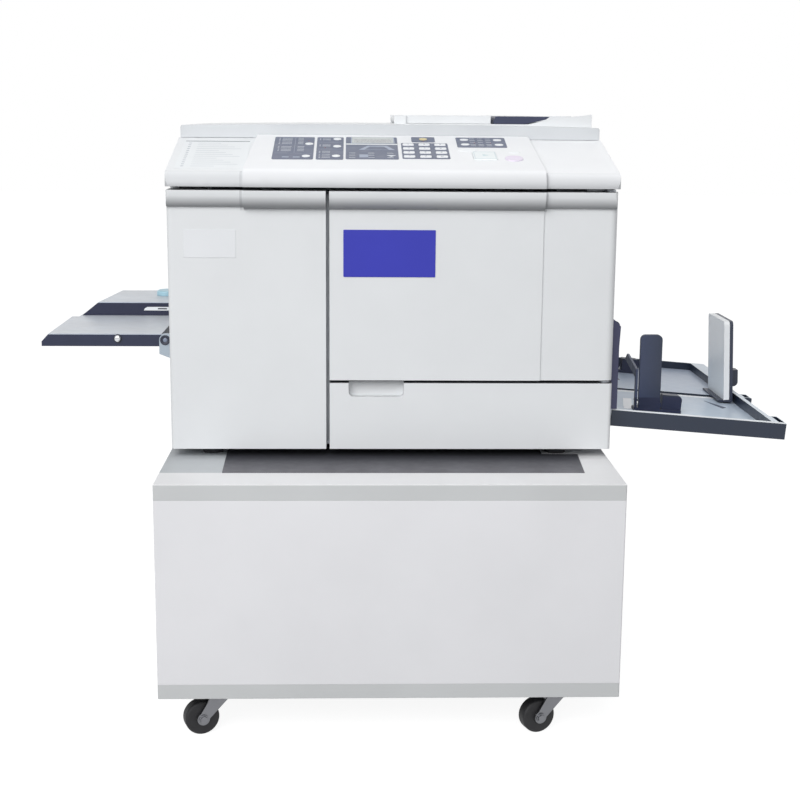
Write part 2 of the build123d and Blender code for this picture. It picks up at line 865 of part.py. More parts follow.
# Frames that carry the drum, rollers and lid
drum_z = body_z + drum_h
pressure_z = drum_z - drum_r - nip - pressure_r
feed_roller_z = body_z + feed_roller_h
frame_low = base_z + base_t
frame_top = body_top - frame_top_gap
frame_right = half_w - frame_side_gap
roller_bores = ((drum_x, pressure_z), (feed_roller_x, feed_roller_z))

with BuildPart() as front_frame:
    slab((-frame_right, frame_front, frame_low), (frame_right, frame_front + frame_t, frame_top))
    bore(drum_x, drum_z, frame_front, frame_t, drum_r + drum_door_gap)
    for x, z in roller_bores:
        bore(x, z, frame_front, frame_t, roller_shaft_r + bore_gap)
save(front_frame, "front_frame")

lid_axis_z = lid_z + lid_axis_rise
frame_back = frame_rear + frame_t

with BuildPart() as rear_frame:
    slab((-frame_right, frame_rear, frame_low), (frame_right, frame_back, frame_top))
    for x in (-lid_lug_x, lid_lug_x):
        slab((x - lid_lug_w / 2, lid_axis_y - lid_lug_r, frame_top - 3 * lid_lug_r),
             (x + lid_lug_w / 2, lid_axis_y + lid_lug_r, lid_axis_z))
        rod((x - lid_lug_w / 2, lid_axis_y, lid_axis_z), along_x, lid_lug_w, lid_lug_r)
        rod((x - lid_lug_w / 2 - lid_pin_l, lid_axis_y, lid_axis_z), along_x, lid_lug_w + 2 * lid_pin_l,
            lid_pin_r)
    bore(drum_x, drum_z, frame_rear, frame_t, drum_shaft_r + bore_gap)
    for x, z in roller_bores:
        bore(x, z, frame_rear, frame_t, roller_shaft_r + bore_gap)
save(rear_frame, "rear_frame")

# Drum carrier: front plate with its grip and the drum's front bearing
carrier_back = frame_front
carrier_front = frame_front - frame_t
grip_z = drum_z + carrier_grip_drop

with BuildPart() as drum_carrier:
    slab((drum_x - carrier_w / 2, carrier_front, drum_z - carrier_h / 2),
         (drum_x + carrier_w / 2, carrier_back, drum_z + carrier_h / 2))
    fillet(drum_carrier.edges().filter_by(Axis.Y), carrier_grip_t)
    slab((drum_x - carrier_grip_w / 2, carrier_front - carrier_grip_reach, grip_z - carrier_grip_t / 2),
         (drum_x + carrier_grip_w / 2, carrier_front, grip_z + carrier_grip_t / 2))
    slab((drum_x - carrier_grip_w / 2 + carrier_grip_t, carrier_front - carrier_grip_reach + wall,
          grip_z - carrier_grip_t),
         (drum_x + carrier_grip_w / 2 - carrier_grip_t, carrier_front, grip_z + carrier_grip_t),
         mode=Mode.SUBTRACT)
    bore(drum_x, drum_z, carrier_front, frame_t, drum_shaft_r + bore_gap)
save(drum_carrier, "drum_carrier")

# Print drum: a screen cylinder on two windowed flanges and a through shaft
knob_front = carrier_front - seam - drum_knob_l

with BuildPart() as print_drum:
    rod((drum_x, drum_front, drum_z), along_y, drum_rear - drum_front, drum_r)
    rod((drum_x, drum_front + drum_flange_t, drum_z), along_y, drum_rear - drum_front - 2 * drum_flange_t,
        drum_r - drum_wall, mode=Mode.SUBTRACT)
    for turn in range(0, 360, 90):
        window = radians(turn)
        bore(drum_x + drum_window_pitch * cos(window), drum_z + drum_window_pitch * sin(window),
             drum_front, drum_rear - drum_front, drum_window_r)
    rod((drum_x, drum_front, drum_z), along_y, drum_rear - drum_front, drum_hub_r)
    rod((drum_x, knob_front, drum_z), along_y, frame_back + roller_overrun - knob_front, drum_shaft_r)
    rod((drum_x, knob_front, drum_z), along_y, drum_knob_l, drum_knob_r)
save(print_drum, "print_drum")


def make_roller(x, z, radius, front, rear):
    """Rubber roller on a shaft that runs in both frames."""
    with BuildPart() as roller:
        rod((x, front, z), along_y, rear - front, radius)
        rod((x, frame_front - roller_overrun + slide_gap, z), along_y,
            frame_back - frame_front + 2 * roller_overrun, roller_shaft_r)
    return roller


paper_y = (tray_near + tray_far) / 2
save(make_roller(drum_x, pressure_z, pressure_r, drum_front, drum_rear), "pressure_roller")
save(make_roller(feed_roller_x, feed_roller_z, feed_roller_r, paper_y - feed_roller_l / 2,
                 paper_y + feed_roller_l / 2), "feed_roller")

# Scanner housing: sloped front, deck, scan well and hinge pockets
deck_z = lid_z + deck_rise
slope_foot_z = lid_z + slope_foot_rise
platen_axis_z = deck_z + platen_axis_rise
well_x = half_w - well_side
left_lid_nose = upper_nose(-half_w, middle_left - seam, "left")
right_lid_nose = upper_nose(middle_right + seam, half_w, "right")
glass_x = glass_w / 2


def slope_z(y):
    """Height of the housing's slope under the fascia."""
    return slope_foot_z + (deck_z - slope_foot_z) * y / slope_back


with BuildPart() as scanner_housing:
    side_prism(((0, lid_z), (0, slope_foot_z), (slope_back, deck_z), (lid_rear, deck_z),
                (lid_rear, lid_z + lid_heel), (lid_rear - lid_heel, lid_z)), -half_w, half_w)
    fillet(scanner_housing.edges().filter_by(Axis.Z).group_by(Axis.Y)[-1], lid_corner_r)
    add(left_lid_nose)
    add(right_lid_nose)
    # Hollow under the slope, open below
    side_prism(((wall, lid_z - over), (wall, slope_z(wall) - lid_wall), (slope_back, deck_z - lid_wall),
                (well_front - lid_wall, deck_z - lid_wall), (well_front - lid_wall, lid_z - over)),
               lid_wall - half_w, half_w - lid_wall, mode=Mode.SUBTRACT)
    # Scan well under the glass
    slab((-well_x, well_front, lid_z + lid_floor_t), (well_x, well_rear, deck_z - deck_t),
         mode=Mode.SUBTRACT)
    slab((glass_ledge - glass_x, glass_front + glass_ledge, deck_z - deck_t - over),
         (glass_x - glass_ledge, glass_rear - glass_ledge, deck_z + over), mode=Mode.SUBTRACT)
    slab((-glass_x, glass_front, deck_z - glass_t), (glass_x, glass_rear, deck_z + over),
         mode=Mode.SUBTRACT)
    for rail_y in (rail_front, rail_rear):
        slab((-well_x, rail_y - rail_w / 2, lid_z + lid_floor_t),
             (well_x, rail_y + rail_w / 2, lid_z + lid_floor_t + rail_h))
    # Lower step at the back, below the platen cover's hinge
    slab((-half_w - over, deck_step_y, deck_z - deck_step),
         (half_w + over, lid_rear + over, deck_z + over), mode=Mode.SUBTRACT)
    for x in (-platen_lug_x, platen_lug_x):
        slab((x - platen_lug_w / 2, platen_axis_y - platen_lug_r, deck_z - deck_step),
             (x + platen_lug_w / 2, platen_axis_y + platen_lug_r, platen_axis_z))
        rod((x - platen_lug_w / 2, platen_axis_y, platen_axis_z), along_x, platen_lug_w, platen_lug_r)
        rod((x - platen_lug_w / 2 - platen_pin_l, platen_axis_y, platen_axis_z), along_x,
            platen_lug_w + 2 * platen_pin_l, platen_pin_r)
    # Hinge pockets, open below and behind
    for x in (-lid_lug_x, lid_lug_x):
        pocket_x = lid_lug_w / 2 + touch
        slab((x - pocket_x, lid_axis_y - lid_lug_r - 2 * touch, lid_z - over),
             (x + pocket_x, lid_rear + over, lid_axis_z + lid_lug_r + 2 * touch), mode=Mode.SUBTRACT)
        rod((x - pocket_x - lid_pin_l, lid_axis_y, lid_axis_z), along_x, 2 * (pocket_x + lid_pin_l),
            lid_pin_r + bore_gap, mode=Mode.SUBTRACT)
    # Opening under the fascia for the keys and their circuit board
    slope_angle = atan2(deck_z - slope_foot_z, slope_back)
    board_near = board_s[0] * cos(slope_angle)
    board_far = board_s[1] * cos(slope_angle) - board_land
    slab((board_x[0], board_near, lid_z), (board_x[1], board_far, deck_z + over), mode=Mode.SUBTRACT)
save(scanner_housing, "scanner_housing")

with BuildPart() as platen_glass:
    slab((touch - glass_x, glass_front + touch, deck_z - glass_t),
         (glass_x - touch, glass_rear - touch, deck_z))
save(platen_glass, "platen_glass")

with BuildPart() as scan_carriage:
    carriage_z = lid_z + lid_floor_t + rail_h + slide_gap
    slab((carriage_x, carriage_front, carriage_z),
         (carriage_x + carriage_w, carriage_rear, carriage_z + carriage_h))
    slab((carriage_x + carriage_w / 3, carriage_front + wall, carriage_z + carriage_h / 2),
         (carriage_x + 2 * carriage_w / 3, carriage_rear - wall, carriage_z + carriage_h + over),
         mode=Mode.SUBTRACT)
save(scan_carriage, "scan_carriage")

# Control fascia: the raised middle of the lid's front and slope
fascia_front_z = lid_z + fascia_front_rise
fascia_back_z = deck_z + fascia_rise
panel_angle = atan2(fascia_back_z - fascia_front_z, fascia_back - fascia_front_y)
panel_plane = Plane(origin=(0, fascia_front_y, fascia_front_z), x_dir=(1, 0, 0),
                    z_dir=(0, -sin(panel_angle), cos(panel_angle)))
moving_keys = {}
for row in range(4):
    for column in range(3):
        spot = (number_key_x + (column - 1) * number_pitch_x, number_key_s + (1.5 - row) * number_pitch_s)
        moving_keys[f"number_key_{3 * row + column + 1}"] = (spot, number_key_w, number_key_l, number_key_r)
moving_keys["start_key"] = ((start_key_x, start_key_s), start_key_w, start_key_l, number_key_r)
moving_keys["stop_key"] = ((stop_key_x, stop_key_s), stop_key_w, stop_key_l,
                           stop_key_w / 2 - round_margin)


def key_outline(spot, width, length, radius, grow):
    """Rounded key outline on the panel, grown by a clearance or a flange."""
    with Locations(spot):
        RectangleRounded(width + 2 * grow, length + 2 * grow, radius + grow)


with BuildPart() as control_fascia:
    with BuildSketch(Plane.YZ.offset(middle_left)):
        with BuildLine():
            lid_nose_line(-nose_reach, fascia_front_y, fascia_front_z)
            Polyline((fascia_front_y, fascia_front_z), (fascia_back, fascia_back_z), (fascia_back, deck_z),
                     (slope_back, deck_z), (0, slope_foot_z), (0, lid_z), (-nose_reach, lid_z))
        make_face()
    extrude(amount=middle_right - middle_left)
    # Sides run inwards towards the back
    with BuildSketch(Plane.XY.offset(lid_z - over)) as fascia_plan:
        with BuildLine():
            Polyline((middle_left, 0), (middle_left + fascia_taper_left, fascia_back),
                     (middle_right - fascia_taper_right, fascia_back), (middle_right, 0),
                     (middle_right, -nose_reach - over), (middle_left, -nose_reach - over), close=True)
        make_face()
    extrude(fascia_plan.sketch, amount=fascia_back_z - lid_z + 2 * over, mode=Mode.INTERSECT)
    # Hollow in the nose, open below
    with BuildSketch(Plane.YZ.offset(middle_left + wall)) as hollow:
        with BuildLine():
            EllipticalCenterArc((-wall, lid_z), nose_reach - 2 * wall, nose_h - 2 * wall, 90, arc_size=90)
            Polyline((-nose_reach + wall, lid_z), (-wall, lid_z), (-wall, lid_z + nose_h - 2 * wall))
        make_face()
    extrude(hollow.sketch, amount=middle_right - middle_left - 2 * wall, mode=Mode.SUBTRACT)
    with BuildSketch(panel_plane) as key_holes:
        for spot, width, length, radius in moving_keys.values():
            key_outline(spot, width, length, radius, key_gap)
    extrude(key_holes.sketch, amount=-4 * fascia_skin, mode=Mode.SUBTRACT)
    # Room under the fascia's skin for the key flanges
    with BuildSketch(panel_plane.offset(-fascia_skin)) as key_room:
        with Locations(((board_x[0] + board_x[1]) / 2, (board_s[0] + board_s[1]) / 2)):
            Rectangle(board_x[1] - board_x[0] - 2 * key_room_side,
                      board_s[1] - board_s[0] - 2 * key_room_end)
    extrude(key_room.sketch, amount=-2 * fascia_skin, mode=Mode.SUBTRACT)
save(control_fascia, "control_fascia")

# Overlays: thin dark panels around the display and the keys
overlay_boxes = {
    "program": (-176.5, -116.5, 49.0, 174.0),
    "paper": (-112.5, -72.5, 49.0, 174.0),
    "display": (-69.0, 8.5, 52.0, 176.0),
    "numbers": (14.0, 84.0, 56.0, 143.0),
    "master": (30.5, 66.0, 150.0, 179.0),
    "arrows": (98.5, 173.5, 122.0, 178.0),
}
overlay_r = 3.0
# Flat keys printed in relief on the sheets and on the fascia: centre, width, length
round_key = 12.0
flat_keys = (
    (-124.0, 133.0, round_key, round_key),
    (-127.0, 64.0, round_key, round_key),
    (-82.0, 162.0, round_key, round_key),
    (-82.0, 120.0, round_key, round_key),
    (-83.0, 66.0, round_key, round_key),
    (48.5, 165.0, round_key, round_key),
    (111.0, 163.5, 13.0, 10.0),
    (111.0, 136.0, 13.0, 10.0),
    (161.5, 162.5, 13.0, 10.0),
    (162.0, 135.0, 13.0, 10.0),
)
pale_keys = (
    (113.5, 106.0, 29.0, 12.0),
    (181.5, 98.0, 16.0, 12.0),
)

with BuildPart() as panel_overlays:
    with BuildSketch(panel_plane) as sheets:
        for left, right, low, high in overlay_boxes.values():
            with Locations(((left + right) / 2, (low + high) / 2)):
                RectangleRounded(right - left, high - low, overlay_r)
    extrude(sheets.sketch, amount=overlay_t)
    with BuildSketch(panel_plane) as windows:
        for name, (spot, width, length, radius) in moving_keys.items():
            if name.startswith("number"):
                key_outline(spot, width, length, radius, key_gap)
    extrude(windows.sketch, amount=overlay_t, mode=Mode.SUBTRACT)
save(panel_overlays, "panel_overlays")

with BuildPart() as membrane_keys:
    for keys, foot in ((flat_keys, overlay_t), (pale_keys, 0)):
        for x, s, width, length in keys:
            with BuildSketch(panel_plane.offset(foot)):
                with Locations((x, s)):
                    RectangleRounded(width, length, min(width, length) / 2 - round_margin)
            extrude(amount=flat_key_rise)
save(membrane_keys, "membrane_keys")


def make_key(spot, width, length, radius):
    """Key cap with a flange that stops it under the fascia's skin."""
    flange_top = -fascia_skin - slide_gap
    with BuildPart() as key:
        with BuildSketch(panel_plane.offset(flange_top)) as cap:
            key_outline(spot, width, length, radius, 0)
        extrude(cap.sketch, amount=key_rise - flange_top)
        fillet(key.faces().filter_by(panel_plane).sort_by(Axis.Z)[-1].edges(), key_edge_r)
        with BuildSketch(panel_plane.offset(flange_top - key_flange_t)) as plate:
            key_outline(spot, width, length, radius, key_flange)
        extrude(plate.sketch, amount=key_flange_t)
    return key


for name, (spot, width, length, radius) in moving_keys.items():
    save(make_key(spot, width, length, radius), name)

# Platen cover: crowned slab, recessed below, hinged at the back
platen_low = deck_z + platen_gap
platen_end = platen_low + platen_end_t
platen_crown = platen_low + platen_crown_t

with BuildPart() as platen_cover:
    with BuildSketch(Plane.XZ.offset(-platen_front)) as crown:
        with BuildLine():
            ThreePointArc((-platen_side, platen_end), (0, platen_crown), (platen_side, platen_end))
            Polyline((platen_side, platen_end), (platen_side, platen_low), (-platen_side, platen_low),
                     (-platen_side, platen_end))
        make_face()
        fillet(crown.vertices().group_by(Axis.Y)[1], platen_corner_r)
    extrude(crown.sketch, amount=platen_front - lid_rear)
    slab((platen_rim - platen_side, platen_front + platen_rim, platen_low - over),
         (platen_side - platen_rim, platen_axis_y - platen_rim - platen_lug_r, platen_low + platen_recess),
         mode=Mode.SUBTRACT)
    for x in (-platen_lug_x, platen_lug_x):
        half_slot = platen_lug_w / 2 + touch
        slab((x - half_slot, platen_axis_y - platen_lug_r - 2 * touch, platen_low - over),
             (x + half_slot, lid_rear + over, platen_axis_z + platen_lug_r + 2 * touch), mode=Mode.SUBTRACT)
        rod((x - half_slot - platen_pin_l, platen_axis_y, platen_axis_z), along_x,
            2 * (half_slot + platen_pin_l), platen_pin_r + bore_gap, mode=Mode.SUBTRACT)
save(platen_cover, "platen_cover")

# Document feeder: fixed ramp with its base and ears, and a hinged cover
feeder_base = platen_crown + feeder_base_t
feeder_top = feeder_base + feeder_rise
feeder_axis_z = feeder_base + feeder_axis_rise
cover_near = feeder_front + feeder_wall + touch
cover_far = feeder_rear - feeder_wall - touch

with BuildPart() as document_ramp:
    slab((feeder_left, feeder_front, platen_end - over), (feeder_right, feeder_rear, feeder_base))
    front_prism(((ramp_foot_x, feeder_base), (feeder_right, feeder_base),
                 (feeder_right, feeder_top - feeder_wall)), feeder_front, feeder_rear)
    front_prism(((ramp_foot_x, feeder_base), (feeder_right, feeder_base),
                 (feeder_right, feeder_base + ramp_rise), (ramp_mid_x, feeder_base + ramp_mid_rise)),
                feeder_front, feeder_front + feeder_wall)
    slab((feeder_cover_right + touch, feeder_rear - feeder_wall, feeder_base),
         (feeder_right, feeder_rear, feeder_top))
    for ear_y in (feeder_front, feeder_rear - feeder_wall):
        slab((feeder_left, ear_y, feeder_base),
             (feeder_axis_x + 2 * feeder_end_r, ear_y + feeder_wall, feeder_axis_z + feeder_end_r))
    rod((feeder_axis_x, feeder_front + feeder_wall - feeder_pin_l, feeder_axis_z), along_y,
        feeder_rear - feeder_front - 2 * feeder_wall + 2 * feeder_pin_l, feeder_pin_r + bore_gap,
        mode=Mode.SUBTRACT)
    add(platen_cover.part, mode=Mode.SUBTRACT)
save(document_ramp, "document_ramp")

with BuildPart() as feeder_cover:
    front_prism(((feeder_axis_x, feeder_axis_z - feeder_end_r),
                 (feeder_axis_x, feeder_axis_z + feeder_end_r),
                 (feeder_cover_right, feeder_top), (feeder_cover_right, feeder_base + touch)),
                cover_near, cover_far)
    rod((feeder_axis_x, cover_near, feeder_axis_z), along_y, cover_far - cover_near, feeder_end_r)
    front_prism(((feeder_axis_x + 4 * feeder_end_r, feeder_base),
                 (feeder_axis_x + 4 * feeder_end_r, feeder_axis_z + over),
                 (feeder_cover_right - wall, feeder_top - wall), (feeder_cover_right - wall, feeder_base)),
                cover_near + wall, cover_far - wall, mode=Mode.SUBTRACT)
    rod((feeder_axis_x, cover_near - touch - feeder_pin_l + slide_gap, feeder_axis_z), along_y,
        cover_far - cover_near + 2 * (touch + feeder_pin_l - slide_gap), feeder_pin_r)
save(feeder_cover, "feeder_cover")

# Feed tray: a skirted plate with a stepped outer end
feed_top = body_z + feed_top_h
feed_low = body_z + feed_low_h
feed_bevel = body_z + feed_bevel_h


def feed_section(inset, floor):
    """Outline of the tray in X and Z, inset for the hollow and cut off at a floor height."""
    return ((feed_inner_x - inset, floor), (feed_inner_x - inset, feed_top - inset),
            (feed_top_x + inset, feed_top - inset), (feed_outer_x + inset, feed_bevel),
            (feed_outer_x + inset, floor))


def feed_block(inset, floor):
    """The tray's outer form, or with an inset its hollow; the outer end steps in behind the step."""
    bevel_x = feed_top_x - feed_outer_x + inset
    with BuildPart() as block:
        front_prism(feed_section(inset, floor), feed_near + inset, feed_far - inset)
        tapered_cut((feed_outer_x + feed_step, feed_step_y - inset), feed_taper,
                    ((-4 * feed_step, floor - over), (inset, floor - over), (inset, feed_bevel),
                     (bevel_x, feed_top - inset), (bevel_x, feed_top + over),
                     (-4 * feed_step, feed_top + over)), feed_far)
    return block.part


feed_body = feed_block(0, feed_low)
feed_hollow = feed_block(feed_wall, feed_low - over)

with BuildPart() as feed_tray:
    add(feed_body)
    add(feed_hollow, mode=Mode.SUBTRACT)
    for boss_y in (feed_near, feed_far - feed_wall - feed_boss_l):
        rod((feed_axis_x, boss_y, feed_axis_z), along_y, feed_wall + feed_boss_l, feed_pin_r + wall)
        slab((feed_inner_x - wall, boss_y, feed_axis_z - feed_pin_r - wall),
             (feed_axis_x, boss_y + feed_wall + feed_boss_l, feed_axis_z + feed_pin_r + wall))
    for boss_y in (feed_near, feed_far - feed_wall - feed_boss_l):
        bore(feed_axis_x, feed_axis_z, boss_y, feed_wall + feed_boss_l, feed_pin_r + bore_gap)
    slab((guide_slot_x - guide_slot_w / 2, guide_foot_y - guide_back - slot_end,
          feed_top - feed_wall - over),
         (guide_slot_x + guide_slot_w / 2, guide_foot_y + guide_foot_l + guide_out + slot_end,
          feed_top + over),
         mode=Mode.SUBTRACT)
save(feed_tray, "feed_tray")

# Rear paper guide on the feed tray, and its lock lever
guide_top = body_z + guide_top_h
guide_low = feed_top + slide_gap


def guide_block(inset, floor):
    """The guide's outer form, or with an inset its hollow; its outer end runs inwards to the rear."""
    head_x = guide_head_x - guide_foot_x + inset
    with BuildPart() as block:
        slab((guide_foot_x, guide_near + inset, floor),
             (guide_inner_x - inset, guide_far - inset, guide_top - inset))
        tapered_cut((guide_foot_x, guide_near), guide_taper,
                    ((-guide_far, floor - over), (2 * inset, floor - over), (2 * inset, guide_low),
                     (head_x, guide_top - inset), (head_x, guide_top + over),
                     (-guide_far, guide_top + over)), guide_far)
    return block.part


guide_body = guide_block(0, guide_low)
guide_hollow = guide_block(guide_wall, guide_low - over)

with BuildPart() as feed_guide:
    add(guide_body)
    add(guide_hollow, mode=Mode.SUBTRACT)
    slab((guide_slot_x - guide_slot_w / 2 + slide_gap, guide_foot_y,
          feed_top - feed_wall - slide_gap - foot_lip),
         (guide_slot_x + guide_slot_w / 2 - slide_gap, guide_foot_y + guide_foot_l, guide_top - guide_wall))
    slab((guide_slot_x - guide_slot_w, guide_foot_y, feed_top - feed_wall - slide_gap - foot_lip),
         (guide_slot_x + guide_slot_w, guide_foot_y + guide_foot_l, feed_top - feed_wall - slide_gap))
    rod((lever_x, lever_y, guide_top), along_z, lever_pin_l, lever_pin_r)
save(feed_guide, "feed_guide")

with BuildPart() as feed_lever:
    with BuildSketch(Plane.XY.offset(guide_top + slide_gap)):
        with Locations((lever_x, lever_y)):
            SlotOverall(lever_l, lever_w, rotation=90)
    extrude(amount=lever_t)
    fillet(feed_lever.faces().sort_by(Axis.Z)[-1].edges(), lever_edge_r)
    rod((lever_x, lever_y, guide_top), along_z, lever_pin_l + slide_gap, lever_pin_r + bore_gap,
        mode=Mode.SUBTRACT)
save(feed_lever, "feed_lever")

# Delivery tray: walls, floor, end lugs, hinge bosses and fence slots
floor_w = -tray_floor_drop
face_back_u = end_fence_u + end_face_t
slot_u = fence_u + fence_w / 2
slot_reach = fence_half + fence_travel_out + foot_l / 2 + slot_end

with BuildPart(tray_plane) as output_tray:
    slab((0, 0, -tray_h), (tray_l, tray_w, 0))
    slab((-over, tray_wall, floor_w), (tray_l - tray_end_wall, tray_w - tray_wall, over),
         mode=Mode.SUBTRACT)
    slab((-over, tray_wall, -tray_h - over),
         (tray_l - tray_end_wall, tray_w - tray_wall, floor_w - tray_floor_t), mode=Mode.SUBTRACT)
    slab((0, tray_middle, floor_w), (tray_l - tray_end_wall, tray_w - tray_wall, floor_w + tray_far_lift))
    slab((tray_corner_u, tray_corner_v, -tray_h), (tray_l + tray_lug_l, tray_w, 0))
    for low_v, high_v in ((0, tray_lug_near), tray_lug_mid):
        slab((tray_l, low_v, -tray_h), (tray_l + tray_lug_l, high_v, 0))
        slab((tray_l + tray_lug_wall, low_v + tray_lug_wall, -tray_h / 2),
             (tray_l + tray_lug_l - tray_lug_wall, high_v - tray_lug_wall, over), mode=Mode.SUBTRACT)
    for boss_v in (tray_wall, tray_w - tray_wall - tray_boss_l):
        slab((tray_axis_u - 2 * tray_ear_r, boss_v, -tray_h),
             (tray_axis_u + 2 * tray_ear_r, boss_v + tray_boss_l, floor_w - tray_floor_t))
        bore(tray_axis_u, tray_axis_w, boss_v, tray_boss_l, tray_pin_r + bore_gap)
    notch_v = tray_wall + tray_boss_l
    notch_depth_v = tray_ear_t + 4 * seam
    for low_v in (notch_v, tray_w - notch_v - notch_depth_v):
        slab((-over, low_v, -tray_h - over), (tray_axis_u + 2 * tray_ear_r, low_v + notch_depth_v, over),
             mode=Mode.SUBTRACT)
    for low_v, high_v in ((tray_middle - slot_reach, tray_middle - fence_half + fence_travel_in + foot_l),
                          (tray_middle + fence_half - fence_travel_in - foot_l, tray_middle + slot_reach)):
        slab((slot_u - fence_slot_w / 2, low_v, -tray_h), (slot_u + fence_slot_w / 2, high_v, over),
             mode=Mode.SUBTRACT)
    slab((face_back_u - end_travel_in - over, tray_middle - fence_slot_w / 2, -tray_h),
         (face_back_u + end_back_t + end_travel_out + over, tray_middle + fence_slot_w / 2, over),
         mode=Mode.SUBTRACT)
    fillet(output_tray.edges().filter_by(Axis.Y).group_by(Axis.X)[-1], tray_edge_r)
save(output_tray, "output_tray")


def tray_foot(low_u, high_u, low_v, high_v, lip_u, lip_v):
    """Foot that passes through a slot in the tray's floor and hooks under it."""
    under = floor_w - tray_floor_t - slide_gap
    slab((low_u, low_v, under - foot_lip), (high_u, high_v, floor_w + foot_drop / 2))
    slab((low_u - lip_u, low_v - lip_v, under - foot_lip), (high_u + lip_u, high_v + lip_v, under))


upright_plane = Plane(origin=tray_plane.origin)


def upright_low(u, w):
    """Height, in the upright frame, of a point at a distance out on the tray and above its rim."""
    return w * cos(radians(tray_slope)) - u * sin(radians(tray_slope))


def make_side_fence(side, top):
    """Base with slider block on the tray, and an upright blade and paper wing; side is -1 in front."""
    lift = tray_far_lift if side == 1 else 0
    base_w = floor_w + lift + slide_gap
    blade_v = tray_middle + side * fence_half
    inner_v = blade_v - side * fence_t
    slider_out = blade_v - side * slider_inset
    slider_in = blade_v - side * slider_w
    leg_v = inner_v + side * wing_leg_w
    tip_v = inner_v - side * wing_reach
    low_v = tip_v - side * wing_tip
    tip_low = wing_h - wing_band + wing_rise * (wing_reach + wing_tip) / wing_reach
    foot_v = (inner_v + blade_v) / 2
    with BuildPart(tray_plane) as base:
        round_u = slider_u + slider_l - slider_corner_r
        slab((wing_u, blade_v, base_w), (slider_u + slider_l, slider_in, base_w + fence_base_t))
        slab((slider_u, slider_out, base_w), (slider_u + slider_l, slider_in, slider_top - slider_corner_r))
        slab((slider_u, slider_out, base_w), (round_u, slider_in, slider_top))
        rod((round_u, min(slider_out, slider_in), slider_top - slider_corner_r), along_y,
            slider_w - slider_inset, slider_corner_r)
        tray_foot(slot_u - fence_slot_w / 2 + slide_gap, slot_u + fence_slot_w / 2 - slide_gap,
                  foot_v - foot_l / 4, foot_v + foot_l / 4, foot_lip, 0)
    with BuildPart(upright_plane) as plates:
        blade_low = upright_low(fence_u, base_w)
        slab((fence_u, inner_v, blade_low), (fence_u + fence_w, blade_v, top - fence_corner_r))
        slab((fence_u + fence_corner_r, inner_v, top - fence_corner_r),
             (fence_u + fence_w - fence_corner_r, blade_v, top))
        for corner_u in (fence_u + fence_corner_r, fence_u + fence_w - fence_corner_r):
            rod((corner_u, min(inner_v, blade_v), top - fence_corner_r), along_y, fence_t, fence_corner_r)
        boss_z = upright_low(boss_u, base_w) + boss_rise
        rod((boss_u, min(inner_v, blade_v), boss_z), along_y, fence_t, boss_r)
        slab((wing_u, inner_v, upright_low(wing_u, base_w)), (wing_u + wing_t, leg_v, wing_h))
        side_prism(((leg_v, wing_h), (leg_v, wing_h - wing_band), (inner_v, wing_h - wing_band),
                    (low_v, tip_low), (tip_v, wing_h + wing_rise)), wing_u, wing_u + wing_t)
    with BuildPart() as fence:
        add(base.part)
        add(plates.part)
    return fence


save(make_side_fence(-1, fence_top), "side_fence_front")
save(make_side_fence(1, fence_rear_top), "side_fence_rear")

# End fence: a dark back plate with a knob, and its pale face plate, both leaning over the tray
end_base = floor_w + tray_far_lift + slide_gap
end_low_v = tray_middle - end_fence_w / 2
end_high_v = tray_middle + end_fence_w / 2
end_turn = radians(tray_slope - end_lean)
end_origin = tray_plane.from_local_coords(Vector(end_fence_u, 0, 0))
end_plane = Plane(origin=end_origin, x_dir=(cos(end_turn), 0, -sin(end_turn)),
                  z_dir=(sin(end_turn), 0, cos(end_turn)))
end_thick = end_face_t + end_back_t


def end_plate(low_x, high_x):
    """Plate across the tray with rounded top corners."""
    slab((low_x, end_low_v, end_base), (high_x, end_high_v, end_fence_top - end_fence_r))
    slab((low_x, end_low_v + end_fence_r, end_base), (high_x, end_high_v - end_fence_r, end_fence_top))
    for corner_v in (end_low_v + end_fence_r, end_high_v - end_fence_r):
        rod((low_x, corner_v, end_fence_top - end_fence_r), along_x, high_x - low_x, end_fence_r)


with BuildPart(end_plane) as end_knob:
    slab((end_face_t, tray_middle - end_knob_w / 2, end_base + end_knob_low),
         (end_thick + end_knob_l, tray_middle + end_knob_w / 2, end_base + end_knob_low + end_knob_h))
    fillet(end_knob.edges().filter_by(Axis.Y).group_by(Axis.X)[-1], end_knob_r)

with BuildPart(end_plane) as end_plates:
    end_plate(0, end_face_t)
    end_plate(end_face_t, end_thick)

with BuildPart(tray_plane) as end_foot:
    slab((end_fence_u - end_lip, end_low_v, end_base),
         (end_fence_u + end_thick, end_high_v, end_base + foot_lip))
    tray_foot(face_back_u, face_back_u + end_back_t, tray_middle - fence_slot_w / 2 + slide_gap,
              tray_middle + fence_slot_w / 2 - slide_gap, 0, foot_lip)

with BuildPart() as end_fence:
    add(end_plates.part)
    add(end_knob.part)
    add(end_foot.part)
save(end_fence, "end_fence")
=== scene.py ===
import math

import bmesh
import bpy
from mathutils import Matrix, Vector


